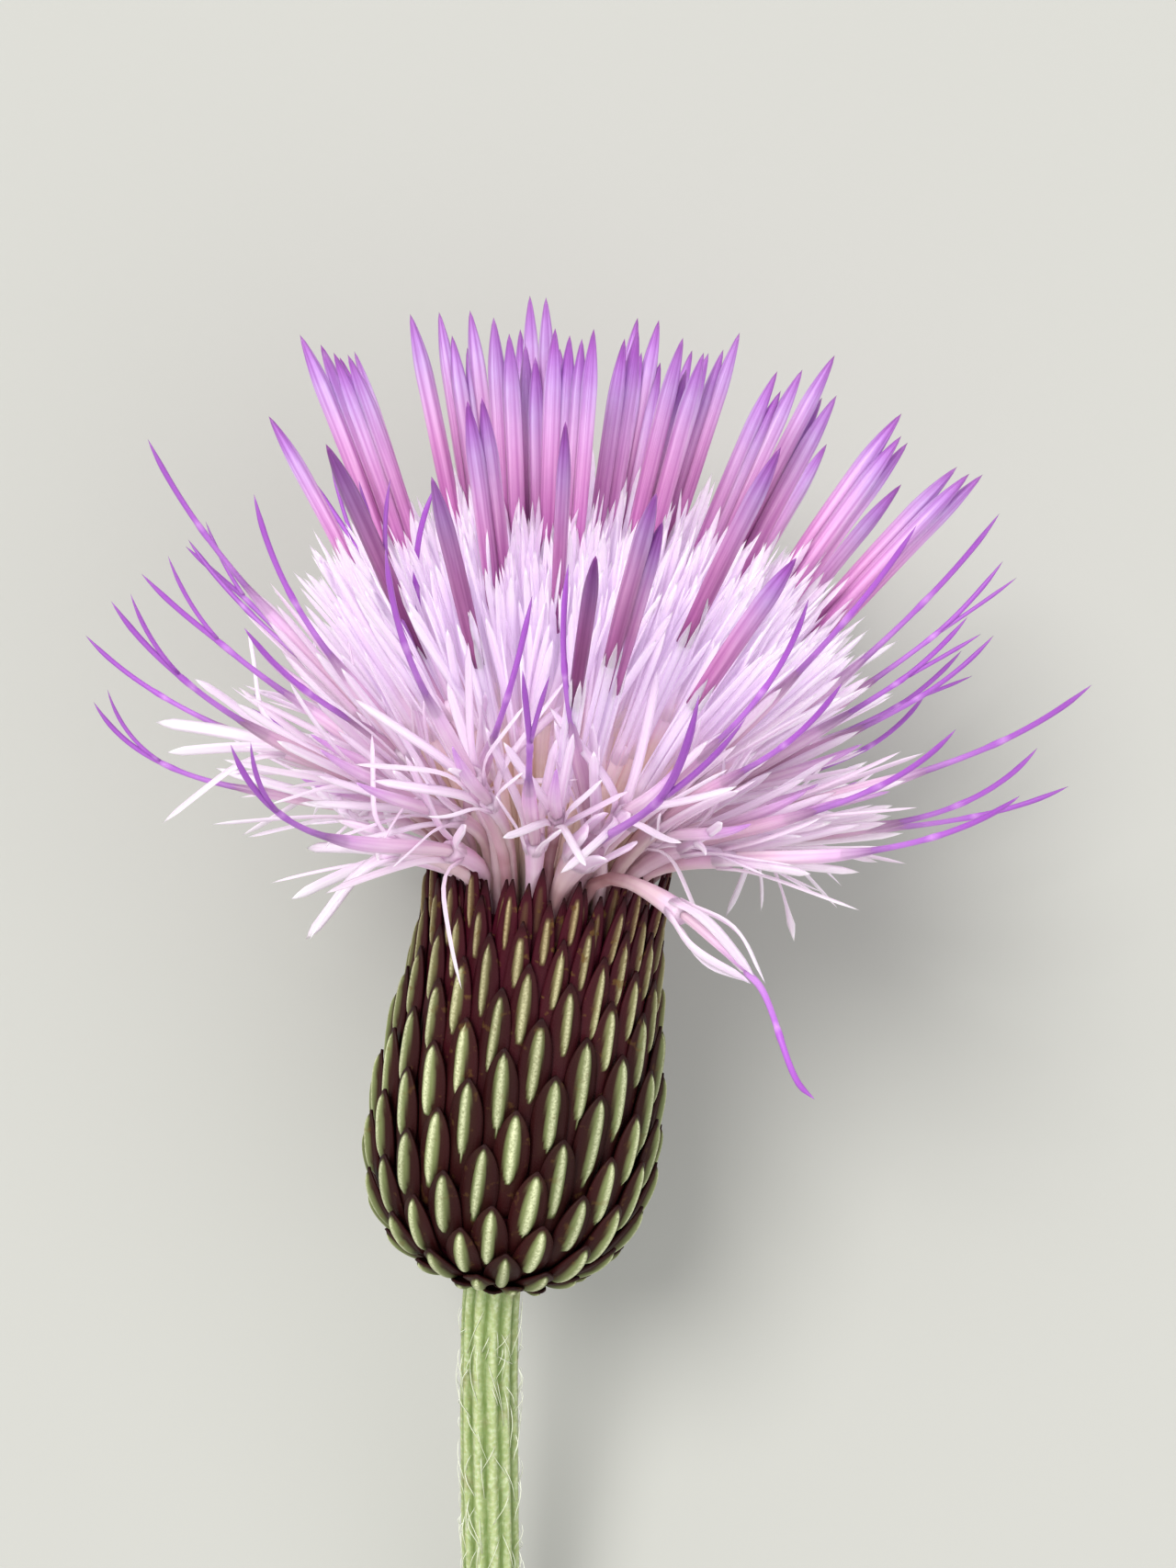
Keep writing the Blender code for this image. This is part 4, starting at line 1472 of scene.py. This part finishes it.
@dataclass
class Fan:
    """Everything that grows out of the mouth of the cup."""

    root_height: float = 6.1
    rim_height: float = 29.0
    outer_root: float = 6.2
    outer_rim: float = 6.3
    outer_settle: float = 0.35
    first_root_turn: float = 7.0
    clump_root: float = 5.0
    clump_rim: float = 5.3
    clump_rise: float = 3.0
    clump_settle: float = 12.0
    widest_lean: float = math.radians(46.0)
    clump_spacing: float = 0.80
    anther_radius: float = 0.50
    lobe_tips: float = 28.4
    front_lean: float = math.radians(33.0)
    back_lean: float = math.radians(56.0)
    inner_crowd: int = 400
    inner_pieces: int = 10
    outer_crowd: int = 16
    outer_pieces: int = 6
    tangled: int = 36
    tangle_pieces: int = 5
    thinned_front: float = 0.86
    hanging_lobes: float = 8.6
    outer_seed: int = 100
    outer_loose_seed: int = 61
    clump_seed: int = 300
    loose_seed: int = 350
    inner_seed: int = 7
    outer_crowd_seed: int = 19
    tangle_seed: int = 41
    outer: tuple[RimFloret, ...] = (
        RimFloret(15, 58, 32, 40, Habit.FOLDED, 0.54),
        RimFloret(28, 86, 91, 37, Habit.CAGE, 0.68, 3.6),
        RimFloret(50, 40, 25, 40, Habit.UPRIGHT),
        RimFloret(52, 66, 42, 38),
        RimFloret(65, 58, 38, 41, Habit.UPRIGHT, 0.64),
        RimFloret(80, 41, 25, 40, Habit.UPRIGHT),
        RimFloret(93, 72, 55, 37),
        RimFloret(104, 51, 36, 39, Habit.UPRIGHT),
        RimFloret(120, 65, 52, 37, Habit.SPLAYED),
        RimFloret(138, 85, 76, 38),
        RimFloret(146, 60, 48, 37, Habit.SPLAYED),
        RimFloret(162, 76, 70, 36),
        RimFloret(178, 62, 54, 36, Habit.SPLAYED),
        RimFloret(196, 76, 70, 36),
        RimFloret(212, 60, 50, 37, Habit.SPLAYED),
        RimFloret(224, 85, 76, 38),
        RimFloret(244, 62, 48, 38, Habit.SPLAYED),
        RimFloret(262, 72, 50, 37),
        RimFloret(276, 48, 30, 41, Habit.UPRIGHT),
        RimFloret(307, 60, 32, 40, Habit.OPEN, 0.64),
        RimFloret(314, 46, 20, 39, Habit.UPRIGHT),
        RimFloret(330, 67, 25, 38, Habit.SPLAYED, 0.55),
        RimFloret(338, 48, 22, 40),
        RimFloret(356, 53, 22, 34, Habit.OPEN, 0.58),
    )
    outer_loose: tuple[tuple[float, RimFloret], ...] = (
        (16, RimFloret(36, 42, 10, 34, Habit.UPRIGHT)),
        (332, RimFloret(312, 34, 10, 34, Habit.UPRIGHT)),
        (271, RimFloret(351, 40, -20, 31)),
        (37, RimFloret(357, 39, -1, 33, Habit.UPRIGHT, 0.6)),
        (232, RimFloret(312, 26, -24, 31, Habit.UPRIGHT)),
    )
    hanging: tuple[tuple[float, RimFloret], ...] = (
        (325, RimFloret(315, 85, 125, 24, Habit.SPLAYED, rise=3.0)),
        (285, RimFloret(285, 74, 104, 30, Habit.SPLAYED, rise=5.0)),
        (328, RimFloret(290, 88, 113, 20, Habit.SPLAYED, rise=3.0)),
    )
    clumps: tuple[Clump, ...] = (
        Clump(269, 38, 1, 41.3), Clump(280, 29, 4, 41.0), Clump(252, 32, 2, 41.0),
        Clump(312, 37, 1, 41.0, depth=0.75), Clump(238, 34, 1, wide=0.75),
        Clump(266, 21, 1, 41.3, wide=1.15), Clump(230, 23, 4, 41.0),
        Clump(330, 26, 2, 39.5, depth=0.2), Clump(334, 37, 1, 39.8, depth=0.55),
        Clump(314, 13, 5, 41.0), Clump(250, 10, 3, 40.0), Clump(10, 5, 2, 41.0),
        Clump(170, 15.5, 4, 40.4), Clump(28, 14, 3, 40.0, depth=0.15), Clump(112, 11, 3, 41.2),
        Clump(78, 17, 3, 41.0), Clump(103, 22, 3, 41.5), Clump(132, 33, 2),
        Clump(95, 30, 3, 41.2), Clump(29, 32, 1, 41.0, depth=0.35),
        Clump(9, 38, 2, 40.3, depth=0.4), Clump(1, 44, 1, 40.0, depth=0.9, wide=0.85),
        Clump(28, 42, 1, depth=0.25), Clump(162, 27, 3), Clump(196, 28, 4), Clump(178, 40, 3),
    )
    loose: tuple[Clump, ...] = (
        Clump(341, 13, 4, 41.0), Clump(352, 28, 1, 41.0, depth=0.5, wide=0.8),
        Clump(112, 37, 1, 41.0), Clump(98, 38, 3, 42.5),
    )

    def outer_path(self, root_turn: float, end: RimFloret) -> Point:
        """The line of an outer floret, from the receptacle to the tip of its style.

        Args:
            root_turn: Where it stands on the receptacle.
            end: Where it ends.

        Returns:
            One row per point.
        """
        turn, lean, tip_lean = (math.radians(value) for value in (end.turn, end.lean, end.tip_lean))
        root = polar(root_turn, self.outer_root, self.root_height)
        rim = polar(root_turn, self.outer_rim, self.rim_height)
        tip = np.array((0.0, 0.0, MOUTH_HEIGHT)) + off_axis(turn, lean) * end.reach
        up = unit(rim - root)
        settle = off_axis(turn, tip_lean) * end.reach * self.outer_settle
        count = 60
        fan = bezier(rim, rim + up * end.rise, tip - settle, tip, count)
        fan[:, 2] -= end.hook * smooth_step(np.linspace(0, 1, count), 0.80, 0.97)
        tube = root + (rim - root) * np.linspace(0, 1, 12)[:-1, None]
        return np.concatenate((tube, fan))

    def inner_path(self, turn: float, lean: float, reach: float, offset: Point) -> Point:
        """The line of a disc floret.

        Args:
            turn: Its direction round the head.
            lean: Its direction off the head's axis.
            reach: Its reach from the middle of the mouth.
            offset: How far its end stands from the direction's own line.

        Returns:
            One row per point.
        """
        share = math.sin(lean) / math.sin(self.widest_lean)
        forward = off_axis(turn, lean)
        root = polar(turn, self.clump_root * share, self.root_height) + offset * 0.25
        rim = polar(turn, self.clump_rim * share, self.rim_height) + offset * 0.4
        top = np.array((0.0, 0.0, MOUTH_HEIGHT)) + forward * reach + offset
        up = unit(rim - root)
        settle = unit(forward + offset * 0.012) * self.clump_settle
        fan = bezier(rim, rim + up * self.clump_rise, top - settle, top, 40)
        tube = root + (rim - root) * np.linspace(0, 1, 8)[:-1, None]
        return np.concatenate((tube, fan))

    def wander(self, path: Point, draw: random.Random, size: float) -> Point:
        """Lets a path's free end drift a little off its line.

        Args:
            path: One row per point.
            draw: The source of the drift.
            size: Its size at the tip.

        Returns:
            The drifted path.
        """
        t = smooth_step(np.linspace(0, 1, len(path)), 0.3, 1.0)
        drift = np.array([draw.uniform(-1, 1) for _ in range(3)]) * size
        sway = np.array([draw.uniform(-1, 1) for _ in range(3)]) * size * 0.6
        return path + t[:, None] * drift + (np.sin(t * math.pi * 1.5) * t)[:, None] * sway

    def build(self, finishes: Finishes) -> None:
        """Builds every floret.

        Args:
            finishes: The material of each tissue.
        """
        self.build_outer(finishes)
        self.build_outer_loose(finishes)
        self.build_clumps(finishes)
        self.build_inner_fill(finishes)
        self.build_outer_fill(finishes)
        self.build_tangle(finishes)

    def grow_outer(self, skin: Skin, path: Point, end: RimFloret, draw: random.Random) -> None:
        """Grows one outer floret with its style.

        Args:
            skin: The piece's skin.
            path: Its line.
            end: How it ends.
            draw: The source of its small differences.
        """
        kind = FOLDED_BUILD if end.habit is Habit.FOLDED else RIM_BUILD
        floret = Floret(path, kind, end.habit, draw, Tissue.RIM_COROLLA, draw.uniform(0.0, 0.6))
        floret.lobes_at = floret.length * (end.open_at + draw.uniform(-0.015, 0.015))
        floret.add_corolla(skin)
        anther_end = floret.length * draw.uniform(0.80, 0.84)
        thickness, hidden, fork = 0.42, 4.0, None
        if end.habit is Habit.CAGE:
            thickness, hidden, fork = 0.24, 0.5, 0.0
        elif end.habit is Habit.FOLDED:
            anther_end, fork = floret.lobes_at + 6.0, 1.6
        floret.add_anther(skin, floret.lobes_at - 1.0, anther_end, thickness, 6.5,
                          Tissue.RIM_ANTHER, draw.random(), draw.uniform(0.0, 0.5))
        floret.add_style(skin, anther_end - hidden, 0.27 if fork else 0.21, fork)

    def build_outer(self, finishes: Finishes) -> None:
        """Builds the outer florets that the frame names, one piece each.

        Args:
            finishes: The material of each tissue.
        """
        for index, end in enumerate(self.outer):
            draw = random.Random(self.outer_seed + index)
            root_turn = math.radians(self.first_root_turn) + math.tau * index / len(self.outer)
            skin = Skin(*OUTER_TISSUES)
            path = self.wander(LIE.lift(self.outer_path(root_turn, end), 0.5), draw, 0.4)
            self.grow_outer(skin, path, end, draw)
            node = f"outer_floret_{index + 1:02d}"
            skin.finish(f"rim_floret_{index + 1:02d}", "outer_floret", finishes, node)

    def build_outer_loose(self, finishes: Finishes) -> None:
        """Builds the slender florets that stand up in front of the crowd, as one piece.

        Args:
            finishes: The material of each tissue.
        """
        skin = Skin(*OUTER_TISSUES)
        draw = random.Random(self.outer_loose_seed)
        for root_turn, end in self.outer_loose:
            path = self.outer_path(math.radians(root_turn), end)
            self.grow_outer(skin, self.wander(LIE.lift(path, 0.5), draw, 0.3), end, draw)
        skin.finish("rim_florets_loose", "outer_floret", finishes)

    def grow_clump(self, clump: Clump, draw: random.Random) -> Skin:
        """Grows a clump of disc florets.

        Args:
            clump: The clump.
            draw: The source of its small differences.

        Returns:
            The clump's skin.
        """
        skin = Skin(*INNER_TISSUES)
        turn, lean = math.radians(clump.turn), math.radians(clump.lean)
        towards = off_axis(turn, lean)
        side = unit(np.cross(towards, (0.05, 0.99, 0.1)))
        other = np.cross(towards, side)
        shade = draw.random()
        for k in range(clump.count):
            across = (k - (clump.count - 1) / 2) * self.clump_spacing
            aside = draw.uniform(-0.7, 0.7) if clump.count > 1 else 0.0
            offset = side * across * draw.uniform(0.85, 1.15) + other * aside
            path = self.inner_path(turn, lean, clump.reach * draw.uniform(0.90, 1.005), offset)
            floret = Floret(LIE.lift(path, 0.4), DISC_BUILD, Habit.CLOSED, draw)
            lobe_tips = floret.length - clump.reach + self.lobe_tips
            floret.lobes_at = lobe_tips - draw.uniform(11.0, 12.6)
            floret.add_corolla(skin)
            radius = self.anther_radius * clump.wide * draw.uniform(0.9, 1.08)
            floret.add_anther(skin, floret.lobes_at + 8.6, floret.length, radius, 4.2,
                              shade=0.6 * shade + 0.4 * draw.random(), depth=clump.depth)
        return skin

    def build_clumps(self, finishes: Finishes) -> None:
        """Builds the clumps of disc florets, one piece each.

        Args:
            finishes: The material of each tissue.
        """
        for index, clump in enumerate(self.clumps):
            skin = self.grow_clump(clump, random.Random(self.clump_seed + index))
            node = f"floret_clump_{index + 1:02d}"
            skin.finish(f"disc_florets_{index + 1:02d}", "inner_floret", finishes, node)
        for index, clump in enumerate(self.loose):
            skin = self.grow_clump(clump, random.Random(self.loose_seed + index))
            skin.finish(f"disc_florets_loose_{index + 1}", "inner_floret", finishes)

    def build_inner_fill(self, finishes: Finishes) -> None:
        """Builds the crowd of disc florets whose lobes stand between the clumps.

        Args:
            finishes: The material of each tissue.
        """
        draw = random.Random(self.inner_seed)
        total, pieces = self.inner_crowd, self.inner_pieces
        skins = [Skin(*INNER_TISSUES) for _ in range(pieces)]
        for k in range(total):
            share = (k + 0.5) / total
            turn = k * GOLDEN_ANGLE + draw.uniform(-0.1, 0.1)
            back = (0.5 - 0.5 * math.cos(turn)) ** 0.6
            widest = self.front_lean + (self.back_lean - self.front_lean) * back
            lean = widest * math.sqrt(share) + draw.uniform(-0.03, 0.03)
            shorter = 3.0 * float(smooth_step(lean, 0.6, 0.95))
            reach = self.lobe_tips + draw.uniform(-2.4, 1.2) - shorter
            path = self.wander(self.inner_path(turn, abs(lean), reach, np.zeros(3)), draw, 0.5)
            splays = draw.random() < 0.5 * smooth_step(lean, 0.5, 0.9)
            habit = Habit.UPRIGHT if splays else Habit.FRINGE
            path = LIE.lift(path, 0.4)
            floret = Floret(path, DISC_BUILD, habit, draw, depth=draw.uniform(0, 0.3))
            floret.lobes_at = floret.length - draw.uniform(10.4, 12.4)
            floret.add_corolla(skins[int(turn / math.tau * pieces) % pieces])
        for number, skin in enumerate(skins, 1):
            skin.finish(f"disc_crowd_{number:02d}", "inner_floret", finishes)

    def build_outer_fill(self, finishes: Finishes) -> None:
        """Builds the outer florets that stand between those the frame names.

        Args:
            finishes: The material of each tissue.
        """
        draw = random.Random(self.outer_crowd_seed)
        total, pieces = self.outer_crowd, self.outer_pieces
        skins = [Skin(*OUTER_TISSUES) for _ in range(pieces)]
        for k in range(total):
            turn = 36 + 288 * (k + draw.uniform(-0.35, 0.35)) / total
            habit = draw.choice((Habit.OPEN, Habit.SPLAYED, Habit.UPRIGHT))
            lean, tip_lean, reach = draw.uniform(46, 74), draw.uniform(25, 50), draw.uniform(32, 37)
            end = RimFloret(turn, lean, tip_lean, reach, habit)
            path = self.outer_path(math.radians(turn + draw.uniform(-6, 6)), end)
            path = self.wander(LIE.lift(path, 0.5), draw, 0.8)
            self.grow_outer(skins[k * pieces // total], path, end, draw)
        for number, skin in enumerate(skins, 1):
            skin.finish(f"rim_crowd_{number:02d}", "outer_floret", finishes)

    def build_tangle(self, finishes: Finishes) -> None:
        """Builds the short rim florets whose splayed lobes tangle under the others.

        Args:
            finishes: The material of each tissue.
        """
        draw = random.Random(self.tangle_seed)
        total, pieces = self.tangled, self.tangle_pieces
        skins = [Skin(*OUTER_TISSUES[:2]) for _ in range(pieces)]
        for k in range(total):
            turn = 360 * (k + draw.uniform(-0.3, 0.3)) / total
            front = 0.5 + 0.5 * math.cos(math.radians(turn))
            if front > self.thinned_front and k % 2:
                continue
            lean = draw.uniform(54, 86 - 20 * front)
            end = RimFloret(turn, lean, draw.uniform(0.75, 1.0) * lean, draw.uniform(20, 26))
            path = self.outer_path(math.radians(turn + draw.uniform(-8, 8)), end)
            path = self.wander(LIE.lift(path, 0.5), draw, 0.8)
            skin = skins[k * pieces // total]
            habit = Habit.OPEN if draw.random() < 0.7 * front else Habit.SPLAYED
            depth = draw.uniform(0, 0.3)
            floret = Floret(path, TANGLE_BUILD, habit, draw, Tissue.RIM_COROLLA, depth)
            floret.lobes_at = floret.length - draw.uniform(9.0, 11.0)
            floret.add_corolla(skin)
            floret.add_anther(skin, floret.lobes_at - 1.0, floret.length, 0.36, 5.0,
                              Tissue.RIM_ANTHER, draw.random())
        for root_turn, end in self.hanging:
            path = LIE.lift(self.outer_path(math.radians(root_turn), end), 0.5)
            floret = Floret(path, HANGING_BUILD, end.habit, draw, Tissue.RIM_COROLLA, 0.1)
            floret.lobes_at = floret.length - self.hanging_lobes
            floret.add_corolla(skins[-1])
        for number, skin in enumerate(skins, 1):
            skin.finish(f"rim_tangle_{number}", "outer_floret", finishes)


# ---------------------------------------------------------------------------------------
# The studio


@dataclass(frozen=True)
class Lamp:
    """A distant soft lamp: its direction, spread in degrees, power and colour."""

    name: str
    towards: tuple[float, float, float]
    spread: float
    power: float
    colour: Colour


@dataclass
class Studio:
    """A pale surface, soft light and a camera that looks straight down.

    The view is the length that the frame's long side takes in at the height of the mouth.
    The sensor is in millimetres, as the lens is, and all other sizes are in metres.
    """

    lamps: tuple[Lamp, ...] = (
        Lamp("key", (-0.35, 0.38, 0.86), 28.0, 2.9, (1.0, 0.99, 0.97)),
        Lamp("fill", (0.55, -0.25, 0.80), 60.0, 0.8, (0.96, 0.97, 1.0)),
    )
    floor_size: float = 12.0
    floor_colour: Colour = tone(170, 170, 165)
    floor_roughness: float = 0.85
    sky_colour: Colour = (0.97, 0.975, 0.965)
    sky_strength: float = 0.85
    distance: float = 0.170
    view: float = 0.110129
    sensor: float = 36.0
    aside: tuple[float, float] = (0.00277, 0.00655)

    def build(self) -> None:
        """Builds the floor, the lights and the camera."""
        self.build_floor()
        self.build_light()
        self.build_camera()

    def build_floor(self) -> None:
        """Lays the pale surface."""
        mesh = bpy.data.meshes.new("surface")
        half = self.floor_size / 2
        corners = [(-half, -half, 0.0), (half, -half, 0.0), (half, half, 0.0), (-half, half, 0.0)]
        mesh.from_pydata(corners, [], [(0, 1, 2, 3)])
        floor = bpy.data.objects.new("surface", mesh)
        bpy.context.scene.collection.objects.link(floor)
        material, _, shader = new_material("surface_pale")
        shader.inputs["Base Color"].default_value = (*self.floor_colour, 1.0)
        shader.inputs["Roughness"].default_value = self.floor_roughness
        mesh.materials.append(material)

    def build_light(self) -> None:
        """Hangs a large soft key, a fill and a gentle sky."""
        world = bpy.data.worlds.new("studio_sky")
        bpy.context.scene.world = world
        world.use_nodes = True
        sky = world.node_tree.nodes["Background"]
        sky.inputs["Color"].default_value = (*self.sky_colour, 1.0)
        sky.inputs["Strength"].default_value = self.sky_strength
        for look in self.lamps:
            lamp = bpy.data.lights.new(look.name, "SUN")
            lamp.angle = math.radians(look.spread)
            lamp.energy = look.power
            lamp.color = look.colour
            light = bpy.data.objects.new(look.name, lamp)
            light.location = Vector(look.towards)
            light.rotation_euler = (-light.location).to_track_quat("-Z", "Y").to_euler()
            bpy.context.scene.collection.objects.link(light)

    def build_camera(self) -> None:
        """Hangs the camera over the mouth of the cup."""
        mouth = LIE.place(np.array(((0.0, 0.0, MOUTH_HEIGHT),)))[0]
        data = bpy.data.cameras.new("camera")
        data.sensor_width = self.sensor
        data.lens = self.sensor * self.distance / self.view
        camera = bpy.data.objects.new("camera", data)
        camera.location = mouth + np.array((*self.aside, self.distance))
        bpy.context.scene.collection.objects.link(camera)
        bpy.context.scene.camera = camera


def main() -> None:
    """Builds the flower on its frame, then the studio round it."""
    logging.basicConfig(level=logging.INFO, format="%(message)s")
    bpy.context.scene.view_settings.view_transform = "Standard"
    finishes = make_finishes()
    Stem().build(finishes)
    Cup().build(finishes)
    Fan().build(finishes)
    Studio().build()


if __name__ == "__main__":
    main()
